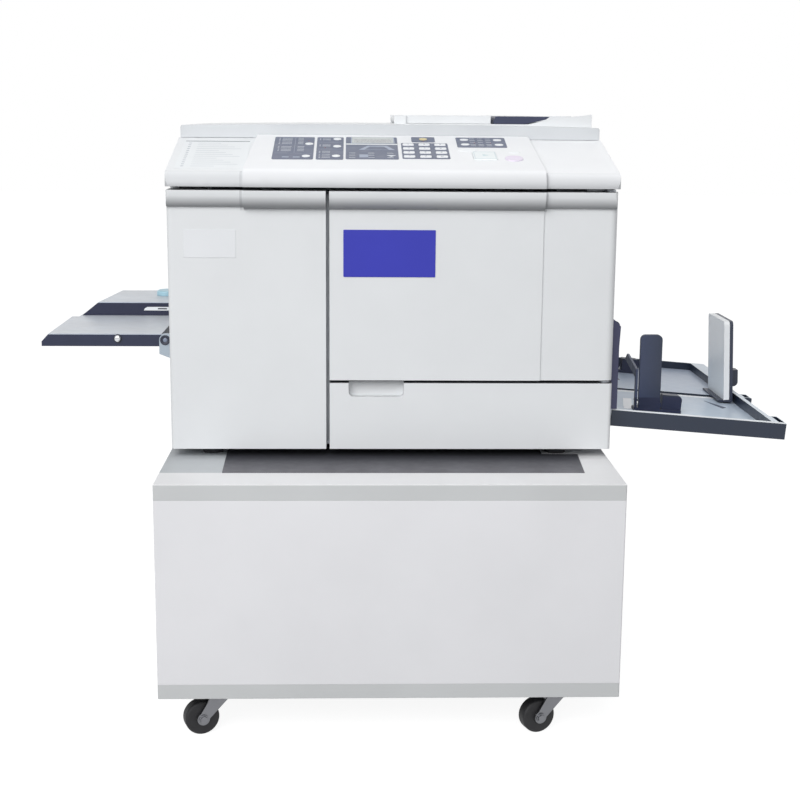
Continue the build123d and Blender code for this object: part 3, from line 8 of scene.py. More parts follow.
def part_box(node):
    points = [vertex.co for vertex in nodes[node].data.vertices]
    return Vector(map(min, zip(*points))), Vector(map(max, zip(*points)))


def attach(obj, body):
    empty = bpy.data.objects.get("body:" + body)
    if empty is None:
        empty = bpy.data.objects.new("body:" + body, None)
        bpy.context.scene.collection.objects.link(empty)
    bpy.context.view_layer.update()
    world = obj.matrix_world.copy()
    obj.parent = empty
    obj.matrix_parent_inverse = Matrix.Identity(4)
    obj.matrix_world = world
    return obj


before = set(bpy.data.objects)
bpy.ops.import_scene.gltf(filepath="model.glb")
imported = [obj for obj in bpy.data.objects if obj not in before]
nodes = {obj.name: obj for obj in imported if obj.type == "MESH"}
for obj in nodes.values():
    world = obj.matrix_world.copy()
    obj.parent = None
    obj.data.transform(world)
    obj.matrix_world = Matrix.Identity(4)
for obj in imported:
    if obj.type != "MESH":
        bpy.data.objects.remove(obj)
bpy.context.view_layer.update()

# Places are in millimetres from the middle of the body's front, at its underside
HOUSING_DEPTH = 594
housing_low, housing_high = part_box("scanner_housing")
MIDDLE_X = (housing_low.x + housing_high.x) / 2
FRONT_Y = housing_high.y - HOUSING_DEPTH / 1000
BASE_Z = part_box("left_front_cover")[0].z


def at(x, y, z):
    return Vector((MIDDLE_X + x / 1000, FRONT_Y + y / 1000, BASE_Z + z / 1000))


def axes(origin, first, second):
    """Matrix from millimetres along three axes to the frame's metres."""
    a = Vector(first).normalized()
    b = Vector(second).normalized()
    matrix = Matrix((a, b, a.cross(b))).transposed() * 0.001
    matrix = matrix.to_4x4()
    matrix.translation = origin
    return matrix


def tilted(y, z, rise, run):
    """Frame on a slope that climbs to the back: across, up the slope, out of it."""
    return axes(at(0, y, z), (1, 0, 0), (0, run, rise))


def hinged(origin, angle):
    """Frame on a tray that drops to the right by an angle: out, to the back, up."""
    return axes(origin, (math.cos(angle), 0, -math.sin(angle)), (0, 1, 0))


TRAY_HINGE = (334.2, 45, 52)
TRAY_ANGLE = math.radians(4.64)
END_LEAN = math.radians(7)
END_PLACE = 225

FRONT = axes(at(0, 0, 0), (1, 0, 0), (0, 0, 1))
TOP = axes(at(0, 0, 0), (1, 0, 0), (0, 1, 0))
PANEL = tilted(-8, 409.8, 44.8, 185)
SLOPE = tilted(0, 405.5, 43.5, 176)
TRAY = hinged(at(*TRAY_HINGE), TRAY_ANGLE)
UPRIGHT = hinged(at(*TRAY_HINGE), 0)
END = hinged(TRAY @ Vector((END_PLACE, 0, 0)), TRAY_ANGLE - END_LEAN)


# Colours and shading, with lengths in metres
CLOUD_SCALE = 9.0
GLOSS_SCALE = 60.0
GRAIN_SCALE = 1400.0
GRAIN_DEPTH = 0.0004
SOFT_EDGE = 0.0007


def rgb(red, green, blue):
    """Linear colour of an sRGB value from 0 to 255."""
    out = []
    for value in (red, green, blue):
        v = value / 255
        out.append(v / 12.92 if v <= 0.04045 else ((v + 0.055) / 1.055) ** 2.4)
    return (*out, 1.0)


class Look:
    """One node material under construction."""

    def __init__(self, name):
        self.material = bpy.data.materials.new(name)
        self.material.use_nodes = True
        self.tree = self.material.node_tree
        self.shader = self.tree.nodes["Principled BSDF"]
        self.coord = self.add("ShaderNodeTexCoord")

    def add(self, kind, **settings):
        n = self.tree.nodes.new(kind)
        for key, value in settings.items():
            setattr(n, key, value)
        return n

    def join(self, source, target):
        self.tree.links.new(source, target)

    def math(self, operation, first, second):
        n = self.add("ShaderNodeMath", operation=operation)
        for value, target in ((first, n.inputs[0]), (second, n.inputs[1])):
            if isinstance(value, (int, float)):
                target.default_value = value
            else:
                self.join(value, target)
        return n.outputs[0]

    def over(self, value, least):
        return self.math("GREATER_THAN", value, least)

    def under(self, value, most):
        return self.math("LESS_THAN", value, most)

    def both(self, first, second):
        return self.math("MULTIPLY", first, second)

    def either(self, first, second):
        return self.math("MAXIMUM", first, second)

    def between(self, value, low, high):
        return self.both(self.over(value, low), self.under(value, high))

    def normal(self, axis):
        """How far the surface faces along an axis of the object, from -1 to 1."""
        n = self.add("ShaderNodeSeparateXYZ")
        self.join(self.coord.outputs["Normal"], n.inputs[0])
        return n.outputs[axis]

    def along(self, matrix, axis):
        """Distance in millimetres along an axis of a frame, at rest."""
        direction = Vector([matrix[i][axis] for i in range(3)]).normalized()
        n = self.add("ShaderNodeVectorMath", operation="DOT_PRODUCT")
        self.join(self.coord.outputs["Object"], n.inputs[0])
        n.inputs[1].default_value = direction
        offset = -direction.dot(matrix.translation)
        return self.math("MULTIPLY", self.math("ADD", n.outputs["Value"], offset), 1000.0)

    def region(self, matrix, left, right, low, high):
        """1 inside a rectangle on the first two axes of a frame."""
        return self.both(self.between(self.along(matrix, 0), left, right),
                         self.between(self.along(matrix, 1), low, high))

    def noise(self, scale, detail=3.0, stretch=None):
        n = self.add("ShaderNodeTexNoise")
        n.inputs["Scale"].default_value = scale
        n.inputs["Detail"].default_value = detail
        source = self.coord.outputs["Object"]
        if stretch:
            mapping = self.add("ShaderNodeMapping")
            mapping.inputs["Scale"].default_value = stretch
            self.join(source, mapping.inputs["Vector"])
            source = mapping.outputs["Vector"]
        self.join(source, n.inputs["Vector"])
        return n.outputs["Fac"]

    def spread(self, source, low, high, start=0.3, end=0.7):
        """A value that runs from start to end, mapped to run from low to high."""
        n = self.add("ShaderNodeMapRange")
        n.inputs["From Min"].default_value = start
        n.inputs["From Max"].default_value = end
        n.inputs["To Min"].default_value = low
        n.inputs["To Max"].default_value = high
        self.join(source, n.inputs["Value"])
        return n.outputs["Result"]

    def mix(self, factor, first, second):
        n = self.add("ShaderNodeMix", data_type="RGBA")
        for value, target in ((factor, n.inputs[0]), (first, n.inputs[6]), (second, n.inputs[7])):
            if isinstance(value, (int, float, tuple)):
                target.default_value = value
            else:
                self.join(value, target)
        return n.outputs[2]

    def finish(self, color, rough=0.45, grain=0.06, grain_scale=GRAIN_SCALE, cloud=0.02,
               soft_edge=SOFT_EDGE, rough_spread=0.06, height=None):
        """Clouded colour, uneven gloss, fine grain and softly rounded edges."""
        value = self.add("ShaderNodeHueSaturation")
        self.join(self.spread(self.noise(CLOUD_SCALE, 4.0), 1 - cloud, 1 + cloud), value.inputs["Value"])
        if isinstance(color, tuple):
            value.inputs["Color"].default_value = color
        else:
            self.join(color, value.inputs["Color"])
        self.join(value.outputs["Color"], self.shader.inputs["Base Color"])
        self.join(self.spread(self.noise(GLOSS_SCALE, 5.0), rough - rough_spread, rough + rough_spread),
                  self.shader.inputs["Roughness"])
        bump = self.add("ShaderNodeBump")
        bump.inputs["Strength"].default_value = grain
        bump.inputs["Distance"].default_value = GRAIN_DEPTH
        self.join(height or self.noise(grain_scale, 2.0), bump.inputs["Height"])
        if soft_edge:
            edge = self.add("ShaderNodeBevel", samples=4)
            edge.inputs["Radius"].default_value = soft_edge
            self.join(edge.outputs["Normal"], bump.inputs["Normal"])
        self.join(bump.outputs["Normal"], self.shader.inputs["Normal"])
        return self.material


def plain(name, color, rough=0.45, metallic=0.0, **more):
    look = Look(name)
    look.shader.inputs["Metallic"].default_value = metallic
    return look.finish(rgb(*color), rough, **more)


# Pieces in mesh code, in the millimetres of a frame
BEVEL_FROM = math.radians(30)
SHARP_FROM = math.radians(40)
ROUND_STEPS = 36
CORNER_STEPS = 5
FIGURE_SIZE = 7.0
FIGURE_THICK = 0.03
FIGURE_ROUND = 0.015


def finish_mesh(name, bm, matrix, material, body, bevel):
    if bevel:
        sharp = [e for e in bm.edges if len(e.link_faces) == 2 and e.calc_face_angle(0.0) > BEVEL_FROM]
        bmesh.ops.bevel(bm, geom=sharp, offset=bevel, segments=2, profile=0.5, affect="EDGES",
                        clamp_overlap=True)
    bmesh.ops.recalc_face_normals(bm, faces=bm.faces)
    bm.transform(matrix)
    mesh = bpy.data.meshes.new(name)
    bm.to_mesh(mesh)
    bm.free()
    for face in mesh.polygons:
        face.use_smooth = True
    obj = bpy.data.objects.new(name, mesh)
    bpy.context.scene.collection.objects.link(obj)
    mesh.materials.append(material)
    mesh.set_sharp_from_angle(angle=SHARP_FROM)
    if body:
        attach(obj, body)
    return obj


def prism_into(bm, outline, low, high):
    bottom = [bm.verts.new((x, y, low)) for x, y in outline]
    top = [bm.verts.new((x, y, high)) for x, y in outline]
    bm.faces.new(bottom[::-1])
    bm.faces.new(top)
    for i in range(len(outline)):
        j = (i + 1) % len(outline)
        bm.faces.new((bottom[i], bottom[j], top[j], top[i]))


def plate(name, outlines, low, high, matrix, material, body, bevel=0.15):
    """Plates of one thickness, in one mesh, each from its outline."""
    bm = bmesh.new()
    for outline in outlines:
        prism_into(bm, outline, low, high)
    return finish_mesh(name, bm, matrix, material, body, bevel)


def rect(left, right, low, high):
    return [(left, low), (right, low), (right, high), (left, high)]


def round_rect(left, right, low, high, radius):
    points = []
    for cx, cy, start in ((right - radius, high - radius, 0), (left + radius, high - radius, 90),
                          (left + radius, low + radius, 180), (right - radius, low + radius, 270)):
        for i in range(CORNER_STEPS + 1):
            turn = math.radians(start + 90 * i / CORNER_STEPS)
            points.append((cx + radius * math.cos(turn), cy + radius * math.sin(turn)))
    return points


def polygon(cx, cy, radius, count):
    turns = [math.radians(360 * i / count) for i in range(count)]
    return [(cx + radius * math.cos(t), cy + radius * math.sin(t)) for t in turns]


def turned(name, profile, base, matrix, center, material, body):
    """A round piece about the third axis at a centre, from (radius, height over its base) points."""
    bm = bmesh.new()
    rings = []
    for radius, height in profile:
        level = base + height
        if radius == 0:
            rings.append([bm.verts.new((center[0], center[1], level))])
        else:
            circle = polygon(*center, radius, ROUND_STEPS)
            rings.append([bm.verts.new((x, y, level)) for x, y in circle])
    pairs = list(zip(rings, rings[1:]))
    if len(rings[0]) > 1:
        pairs.append((rings[-1], rings[0]))
    for lower, upper in pairs:
        for i in range(ROUND_STEPS):
            j = (i + 1) % ROUND_STEPS
            quad = [lower[i % len(lower)], lower[j % len(lower)]]
            quad += [upper[j % len(upper)], upper[i % len(upper)]]
            corners = list(dict.fromkeys(quad))
            if len(corners) > 2:
                bm.faces.new(corners)
    return finish_mesh(name, bm, matrix, material, body, 0)


def figure(name, text, x, y, low, matrix, material, body):
    """A printed key number, centred on a point."""
    curve = bpy.data.curves.new(name + "_line", "FONT")
    curve.body = text
    curve.size = FIGURE_SIZE
    curve.align_x = "CENTER"
    curve.align_y = "CENTER"
    curve.extrude = FIGURE_THICK
    curve.bevel_depth = FIGURE_ROUND
    curve.resolution_u = 3
    shape = bpy.data.objects.new(name + "_shape", curve)
    bpy.context.scene.collection.objects.link(shape)
    mesh = bpy.data.meshes.new_from_object(shape.evaluated_get(bpy.context.evaluated_depsgraph_get()))
    bpy.data.objects.remove(shape)
    bm = bmesh.new()
    bm.from_mesh(mesh)
    bpy.data.meshes.remove(mesh)
    bmesh.ops.remove_doubles(bm, verts=bm.verts, dist=0.0005)
    bmesh.ops.translate(bm, vec=(x, y, low), verts=bm.verts)
    return finish_mesh(name, bm, matrix, material, body, 0)


# Where the colours of the covers and their painted shade change
BODY_NOSE_LOW, BODY_NOSE_HIGH = 351.0, 371.0
BODY_NOSE_FRONT = -2.6
LID_NOSE_LOW, LID_NOSE_HIGH = 382.0, 410.0
LID_NOSE_FRONT = 1.5
RAISED_LEFT = (-219.5, -216.0)
RAISED_RIGHT = (217.5, 221.0)
EAR_LEFT = -325.05
REAR_FACE = 599.5
SEAM_DEPTH = 25.0


def nose_side(look, low):
    """1 on the two soft shadow lines beside the raised middle of a front edge."""
    x = look.along(FRONT, 0)
    lines = look.either(look.between(x, *RAISED_LEFT), look.between(x, *RAISED_RIGHT))
    front = look.under(look.along(TOP, 1), 0.4)
    return look.both(look.both(lines, front), look.over(look.along(FRONT, 1), low))


def body_white():
    """Warm white covers: painted shade greying the underside of the nose, a dark line painted as shade in
    the seam under the door, a rear plate.
    """
    look = Look("body_white")
    height = look.along(FRONT, 1)
    depth = look.along(TOP, 1)
    # Painted shade: the underside of the nose greys towards its bottom.
    painted_nose_shade = look.both(look.spread(height, 1.0, 0.0, BODY_NOSE_LOW, BODY_NOSE_HIGH),
                     look.under(depth, BODY_NOSE_FRONT))
    painted_nose_shade = look.both(painted_nose_shade, look.over(height, BODY_NOSE_LOW - 1))
    color = look.mix(painted_nose_shade, rgb(225, 227, 229), rgb(118, 120, 124))
    # Painted shadow lines beside the raised middle of the nose.
    sides = look.both(nose_side(look, BODY_NOSE_LOW - 1), 0.3)
    color = look.mix(sides, color, rgb(120, 122, 126))
    rear_plate = look.both(look.over(depth, REAR_FACE), look.region(FRONT, 120, 230, 30, 90))
    color = look.mix(rear_plate, color, rgb(196, 199, 203))
    # Painted shade: a dark line in the seam under the door.
    painted_seam_shade = look.both(look.region(FRONT, -91.9, 400, 99.2, 103.8), look.under(depth, SEAM_DEPTH))
    return look.finish(look.mix(painted_seam_shade, color, rgb(58, 60, 64)), 0.42, grain=0.03)


def side_white():
    """Side cover with blue-grey hinge ears."""
    look = Look("side_white")
    ears = look.under(look.along(FRONT, 0), EAR_LEFT)
    return look.finish(look.mix(ears, rgb(222, 224, 226), rgb(172, 184, 195)), 0.42, grain=0.03)


def lid_white(name, left, right, sides):
    """White of the sloped lid, brighter to the right, and greyer down its front edge by painted shade."""
    look = Look(name)
    slope = look.mix(look.spread(look.along(FRONT, 0), 0.0, 1.0, -220.0, 240.0), rgb(*left), rgb(*right))
    # Painted shade: the front edge greys downwards.
    down = look.spread(look.along(FRONT, 1), 1.0, 0.0, LID_NOSE_LOW, LID_NOSE_HIGH)
    painted_nose_shade = look.both(down, look.under(look.along(TOP, 1), LID_NOSE_FRONT))
    color = look.mix(painted_nose_shade, slope, rgb(170, 172, 175))
    if sides:
        # Painted shadow lines beside the raised middle of the front edge.
        color = look.mix(look.both(nose_side(look, LID_NOSE_LOW - 2), 0.3), color, rgb(150, 152, 156))
    return look.finish(color, 0.4, grain=0.03)


def lid_gray():
    """Platen cover: white top, its front edge a little darker by painted shade on the faces that look to
    the front.
    """
    look = Look("lid_gray")
    # Painted shade: faces that look to the front are darker.
    front = look.under(look.normal(1), -0.6)
    return look.finish(look.mix(front, rgb(233, 235, 236), rgb(208, 211, 214)), 0.45, grain=0.03)


def stand_laminate():
    """Pale board tops, greyer on the left behind their front strip by painted shade, on darker edges."""
    look = Look("stand_laminate")
    # Painted shade on the left of the board tops.
    shade = look.region(TOP, -400, -243, -92, 560)
    top = look.mix(shade, rgb(234, 234, 235), rgb(190, 194, 197))
    color = look.mix(look.over(look.normal(2), 0.5), rgb(203, 205, 206), top)
    return look.finish(color, 0.5, cloud=0.025, grain=0.03)


def navy(name, color, pale):
    """Dark moulded plastic; pale gives the colour and the mask of its paler upper faces."""
    look = Look(name)
    tone, mask = pale(look)
    return look.finish(look.mix(mask, rgb(*color), tone), 0.34, grain=0.04, cloud=0.04)


def tray_floor(look):
    """Floor made pale by painted reflection, paler in front, with a painted highlight as a bright strip
    before its middle step, a dark line along the step, and a rim pale by painted highlight.
    """
    depth = look.along(TRAY, 1)
    # Painted reflection: the pale floor, paler in front.
    tone = look.mix(look.spread(depth, 0.0, 1.0, 40.0, 480.0), rgb(198, 212, 226), rgb(178, 189, 208))
    # Painted highlight: a bright strip before the middle step.
    tone = look.mix(look.between(depth, 246, 261), tone, rgb(248, 251, 254))
    tone = look.mix(look.between(depth, 261, 265.5), tone, rgb(74, 84, 106))
    # Painted highlight on the rim, its front edge and a line along the front.
    rim_highlight = look.over(look.along(TRAY, 2), -1.6)
    tone = look.mix(rim_highlight, tone, rgb(214, 224, 234))
    front_highlight = look.both(rim_highlight, look.under(depth, 4.2))
    tone = look.mix(front_highlight, tone, rgb(240, 244, 248))
    front_line = look.both(front_highlight, look.between(depth, -0.5, 0.6))
    return tone, look.either(look.over(look.normal(2), 0.75), front_line)


def feed_pale(top, front_y):
    """Upper faces pale, and a thin pale line along the front top edge."""
    def tones(look):
        tone = look.mix(look.spread(look.noise(14.0), 0.0, 1.0), rgb(196, 200, 206), rgb(203, 209, 217))
        near = look.under(look.along(TOP, 1), front_y + 0.4)
        line = look.both(near, look.over(look.along(TOP, 2), top - 1.3))
        upper = look.over(look.normal(2), 0.75)
        return look.mix(line, tone, rgb(190, 198, 210)), look.either(upper, line)
    return tones


def fence_look():
    """Navy fence whose blade darkens away from the machine, with a painted highlight along the wing edge.
    """
    look = Look("fence_navy")
    out = look.along(UPRIGHT, 0)
    blade = look.mix(look.spread(out, 0.0, 1.0, 54.0, 96.0), rgb(60, 70, 98), rgb(38, 46, 64))
    color = look.mix(look.over(look.along(UPRIGHT, 2), 2.0), rgb(32, 38, 64), blade)
    # Painted highlight on the wing's edge that faces outwards.
    wing_edge_highlight = look.both(look.between(out, 53.2, 53.8), look.over(look.normal(0), 0.6))
    return look.finish(look.mix(wing_edge_highlight, color, rgb(120, 130, 150)), 0.4, grain=0.04, cloud=0.04)


def end_fence_look():
    """Pale face plate on a dark back plate."""
    look = Look("end_fence_two_tone")
    height = look.along(END, 2)
    pale = look.both(look.between(look.along(END, 0), -0.3, 9.2), look.over(height, -9.4))
    face = look.under(look.normal(0), -0.5)
    tone = look.mix(look.spread(height, 0.0, 1.0, 20.0, 90.0), rgb(244, 250, 254), rgb(246, 249, 252))
    light = look.mix(face, rgb(242, 244, 246), tone)
    return look.finish(look.mix(pale, rgb(48, 54, 72), light), 0.4, grain=0.03)


def brushed_zinc():
    look = Look("zinc")
    look.shader.inputs["Metallic"].default_value = 1.0
    streaks = look.noise(220.0, 3.0, (1.0, 1.0, 60.0))
    return look.finish(rgb(122, 123, 127), 0.35, grain=0.12, height=streaks, cloud=0.05)


def rubber(name, color):
    return plain(name, color, 0.62, grain=0.25, grain_scale=600.0, cloud=0.1)


def screen_metal():
    """Fine perforated screen on the drum."""
    look = Look("screen_metal")
    look.shader.inputs["Metallic"].default_value = 0.85
    cells = look.add("ShaderNodeTexVoronoi")
    cells.inputs["Scale"].default_value = 420.0
    look.join(look.coord.outputs["Object"], cells.inputs["Vector"])
    holes = look.under(cells.outputs["Distance"], 0.32)
    return look.finish(look.mix(holes, rgb(186, 189, 193), rgb(74, 76, 82)), 0.4, grain=0.2,
                       height=cells.outputs["Distance"])


def glass():
    look = Look("scan_glass")
    look.shader.inputs["Transmission Weight"].default_value = 0.9
    look.shader.inputs["IOR"].default_value = 1.46
    return look.finish(rgb(214, 226, 226), 0.05, grain=0.0, rough_spread=0.01, cloud=0.01, soft_edge=0)


def overlay_film():
    look = Look("overlay_film")
    color = look.mix(look.spread(look.noise(30.0), 0.0, 1.0), rgb(78, 87, 112), rgb(86, 95, 120))
    return look.finish(color, 0.35, grain=0.04)


def key_film():
    """Pale flat keys, one of them gold."""
    look = Look("key_film")
    gold = look.region(PANEL, 40, 57, 155, 175)
    return look.finish(look.mix(gold, rgb(244, 246, 248), rgb(226, 208, 150)), 0.32, grain=0.03)


# Materials of the CAD nodes
white = body_white()
fence_navy = fence_look()
steel = plain("painted_steel", (176, 180, 186), 0.42, metallic=0.7, grain=0.05, cloud=0.04)
key_white = plain("key_white", (240, 242, 245), 0.35, grain=0.03)
caster_rubber = rubber("caster_rubber", (18, 18, 22))
roller = rubber("roller_rubber", (40, 41, 46))
zinc = brushed_zinc()
laminate = stand_laminate()
boards = plain("stand_panel", (233, 233, 236), 0.48, cloud=0.02, grain=0.03)
film = overlay_film()

looks = {
    "cabinet_top": laminate, "cabinet_bottom": laminate,
    "cabinet_sides": boards, "cabinet_front": boards, "cabinet_back": boards,
    "caster_plates": zinc,
    "feet": rubber("foot_rubber", (42, 42, 46)),
    "base_plate": steel, "front_frame": steel, "rear_frame": steel,
    "door_hinges": steel, "drum_carrier": steel,
    "left_side_cover": side_white(),
    "power_inlet": plain("inlet_black", (30, 30, 33), 0.4),
    "control_fascia": lid_white("fascia_white", (241, 242, 244), (243, 244, 246), False),
    "scanner_housing": lid_white("housing_white", (233, 235, 237), (246, 247, 249), True),
    "platen_cover": lid_gray(),
    "panel_overlays": film,
    "membrane_keys": key_film(),
    "start_key": plain("start_key_pale", (238, 244, 245), 0.35, grain=0.03),
    "stop_key": plain("stop_key_lilac", (234, 224, 240), 0.35, grain=0.03),
    "platen_glass": glass(),
    "scan_carriage": plain("carriage_black", (34, 35, 38), 0.5, grain=0.1),
    "print_drum": screen_metal(), "pressure_roller": roller, "feed_roller": roller,
    "feed_tray": navy("feed_navy", (26, 34, 62), feed_pale(160, 74)),
    "feed_guide": navy("guide_navy", (20, 26, 56), feed_pale(182, 275)),
    "feed_lever": plain("lever_blue", (165, 202, 216), 0.35, grain=0.04),
    "output_tray": navy("tray_navy", (32, 42, 60), tray_floor),
    "side_fence_front": fence_navy, "side_fence_rear": fence_navy, "end_fence": end_fence_look(),
}
repeated = {"caster_yoke": zinc, "caster_wheel": caster_rubber, "number_key": key_white}
for name in nodes:
    for start, material in repeated.items():
        if name.startswith(start):
            looks[name] = material
for name, node in nodes.items():
    node.data.materials.clear()
    node.data.materials.append(looks.get(name, white))

# A print or plate lies this far off the face under it
LIFT = 0.02


def front_plates():
    """Blank label on the left cover, blank blue plate on the door."""
    label_gray = plain("label_gray", (228, 230, 233), 0.4, grain=0.02)
    label = round_rect(-301.5, -226.5, 282, 323, 1.5)
    plate("front_label", [label], LIFT, 0.35, FRONT, label_gray, "machine")
    badge_blue = plain("badge_blue", (44, 49, 172), 0.34, grain=0.02, cloud=0.03)
    badge = round_rect(-72, 61, 255.5, 323.5, 1.2)
    door_face = 2.5
    plate("door_badge", [badge], door_face + LIFT, door_face + 0.7, FRONT, badge_blue, "door",
          0.25)


def shadow_sheet_gray(front, under_front):
    """Dark sheet of painted shadow, streaked and paler where it lies in front of the machine."""
    look = Look("shadow_sheet_gray")
    # Painted shadow, darker towards and under the machine.
    shadow_fade = look.spread(look.along(TOP, 1), 0.0, 1.0, front, under_front)
    streaks = look.spread(look.noise(26.0, 3.0, (1.0, 0.12, 1.0)), 0.0, 1.0)
    paler = look.mix(streaks, rgb(92, 91, 97), rgb(104, 104, 110))
    return look.finish(look.mix(shadow_fade, paler, rgb(62, 63, 69)), 0.55, grain=0.02)


def cabinet_shadow_sheet():
    """Dark sheet of painted shadow on the cabinet, under the machine and a little in front of it."""
    board = (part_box("cabinet_top")[1].z - BASE_Z) * 1000
    front, step, rear = -93, 22, 545
    left, right = -246, 226
    outline = [(-243, front), (273, front), (280, step), (right, step), (right, rear), (left, rear),
               (left, step)]
    # A dark sheet standing for the machine's shadow on the cabinet top.
    plate("cabinet_shadow_sheet", [outline], board + LIFT, board + 0.6, TOP, shadow_sheet_gray(front, -10.0), "machine",
          0.15)


def door_ribs():
    """Ribs on the inside of the door."""
    half = 0.8
    inner_face = -3.0
    left, right, low, high = -86, 296, 110, 369
    upright = [rect(x - half, x + half, low, high) for x in (-60, 0, 60, 120, 180, 240, 290)]
    plate("door_ribs_upright", upright, -8.0, inner_face, FRONT, white, "door", 0.2)
    level = [rect(left, right, z - half, z + half) for z in (150, 200, 250, 300)]
    plate("door_ribs_level", level, -7.4, inner_face, FRONT, white, "door", 0.2)


ring_navy = plain("ring_navy", (36, 41, 58), 0.4)


def feed_ear_pins():
    """Ring and pin head on the outer face of each hinge ear of the feed tray."""
    pin_blue = plain("pin_blue", (132, 142, 162), 0.35)
    pivot_x, pivot_z = -339, 152
    front_ear = -64.5
    rear = axes(at(0, 549.5, 0), (-1, 0, 0), (0, 0, 1))
    ring = [(3.6, 0), (3.6, 0.9), (4.2, 1.3), (7.1, 1.3), (7.6, 0.8), (7.6, 0)]
    head = [(0, 0), (3.3, 0), (3.3, 0.8), (2.7, 1.4), (1.1, 1.6), (0.8, 1.1), (0, 1.1)]
    for end, matrix, base, x in (("front", FRONT, front_ear, pivot_x), ("rear", rear, 0.0, -pivot_x)):
        turned(f"feed_ring_{end}", ring, base, matrix, (x, pivot_z), ring_navy, "machine")
        turned(f"feed_pin_head_{end}", head, base, matrix, (x, pivot_z), pin_blue, "machine")


def feed_knob():
    """Bright knob with a dark collar on the front of the feed tray."""
    chrome = plain("chrome", (205, 207, 210), 0.16, metallic=1.0, grain=0.02, rough_spread=0.03)
    center = (-411, 153)
    tray_front = -74
    knob = [(0, 0), (4.6, 0), (5.0, 0.6), (5.2, 2.4), (4.8, 3.8), (3.4, 4.8), (1.6, 5.2), (0, 5.3)]
    turned("feed_knob", knob, tray_front, FRONT, center, chrome, "feed_tray")
    collar = [(5.3, 0), (5.3, 0.7), (5.8, 1.0), (6.6, 0.7), (6.6, 0)]
    turned("feed_knob_collar", collar, tray_front, FRONT, center, ring_navy, "feed_tray")


def guide_slot():
    """Pale slot label with a dark dash on the front of the feed guide."""
    slot_white = plain("slot_white", (236, 238, 240), 0.4)
    guide_front = -275
    label_top = guide_front + 0.4
    low, high = 168.3, 174.2
    outline = [(-400, low), (-352.8, low), (-352.8, high), (-394, high), (-398, 172)]
    plate("guide_slot_label", [outline], guide_front + LIFT, label_top, FRONT, slot_white, "feed_guide")
    dash = round_rect(-377, -362, 170.3, 172.3, 0.9)
    plate("guide_slot_dash", [dash], label_top, label_top + 0.2, FRONT, ring_navy, "feed_guide",
          0.05)


def tray_prints():
    """Pale card and two tapered dark marks on the floor of the delivery tray."""
    floor_level = -15.0
    low = floor_level + LIFT
    sheet_white = plain("sheet_white", (248, 250, 253), 0.35, grain=0.02)
    card = [(36, 91), (50, 91), (66, 183), (52, 183)]
    plate("tray_card", [card], low, floor_level + 0.5, TRAY, sheet_white, "output_tray", 0.1)
    groove_dark = plain("groove_dark", (66, 76, 100), 0.4)
    rear_mark = [(204, 284), (223, 276), (222, 266)]
    front_mark = [(196, 220), (221, 172), (213, 162), (203, 190)]
    plate("tray_marks", [rear_mark, front_mark], low, floor_level + 0.3, TRAY, groove_dark, "output_tray",
          0.05)


def delivery_wing():
    """Plate in front of the delivery bay, beside the tray's near side."""
    wing_navy = plain("wing_navy", (66, 68, 98), 0.42, grain=0.04)
    side, low = 325.3, 53
    outline = [(side, low), (340.3, low), (340.4, 142.8), (342.2, 178.3), (334.4, 186.6), (side, 194)]
    plate("delivery_wing", [outline], -42.5, -40.0, FRONT, wing_navy, "machine", 0.3)


ink_gray = plain("ink_gray", (120, 124, 132), 0.5, grain=0.02)


def lid_sheet():
    """Instruction sheet on the left slope, with a ruled line and blank rows."""
    paper = plain("paper_white", (236, 239, 241), 0.5, grain=0.02)
    ink_pale = plain("ink_pale", (206, 211, 216), 0.5, grain=0.02)
    ink_mark = plain("ink_mark", (168, 174, 184), 0.5, grain=0.02)
    sheet_top = 0.25
    plate("lid_sheet", [round_rect(-314, -213, 12, 165, 2)], LIFT, sheet_top, SLOPE, paper, "scanner_unit",
          0.08)
    plate("lid_sheet_line", [rect(-312, -215, 158.5, 161.5)], sheet_top, 0.33, SLOPE, ink_gray,
          "scanner_unit", 0.03)
    first_row, pitch, row_count = 148, 10.4, 13
    bar_left = -292
    bars = []
    marks = []
    for index in range(row_count):
        s = first_row - pitch * index
        length = 34 + 11 * (index * 5 % 4)
        bars.append(rect(bar_left, bar_left + length, s, s + 1.5))
        marks.append(rect(-306, -302, s - 0.5, s + 2))
    for name, outlines, ink in (("bars", bars, ink_pale), ("marks", marks, ink_mark)):
        plate(f"lid_sheet_{name}", outlines, sheet_top, sheet_top + 0.06, SLOPE, ink, "scanner_unit",
              0.02)


# Where the prints on the panel's films begin, and the thickness of one print
FILM = 0.62
LAYER = 0.12
film_white = plain("film_white", (236, 240, 242), 0.35, grain=0.02)
print_pale = plain("print_pale", (160, 169, 188), 0.4, grain=0.02)
print_white = plain("print_white", (232, 236, 242), 0.4, grain=0.02)


def panel_plate(name, outlines, material, low=FILM, thick=LAYER, bevel=0.03):
    plate(name, outlines, low, low + thick, PANEL, material, "scanner_unit", bevel)


def display_glass():
    """Pale display with rows of small dark cells."""
    look = Look("display_glass")
    cells = look.add("ShaderNodeTexBrick")
    for socket, value in (("Scale", 1.0), ("Brick Width", 2.2), ("Row Height", 4.2), ("Mortar Size", 0.5),
                          ("Color1", rgb(98, 100, 108)), ("Color2", rgb(170, 170, 172)),
                          ("Mortar", rgb(206, 208, 206))):
        cells.inputs[socket].default_value = value
    place = look.add("ShaderNodeCombineXYZ")
    look.join(look.along(PANEL, 0), place.inputs[0])
    look.join(look.along(PANEL, 1), place.inputs[1])
    look.join(place.outputs[0], cells.inputs["Vector"])
    rows = look.region(PANEL, -57, 0, 144, 163)
    color = look.mix(rows, rgb(196, 201, 199), cells.outputs["Color"])
    return look.finish(color, 0.18, grain=0.01, rough_spread=0.03)


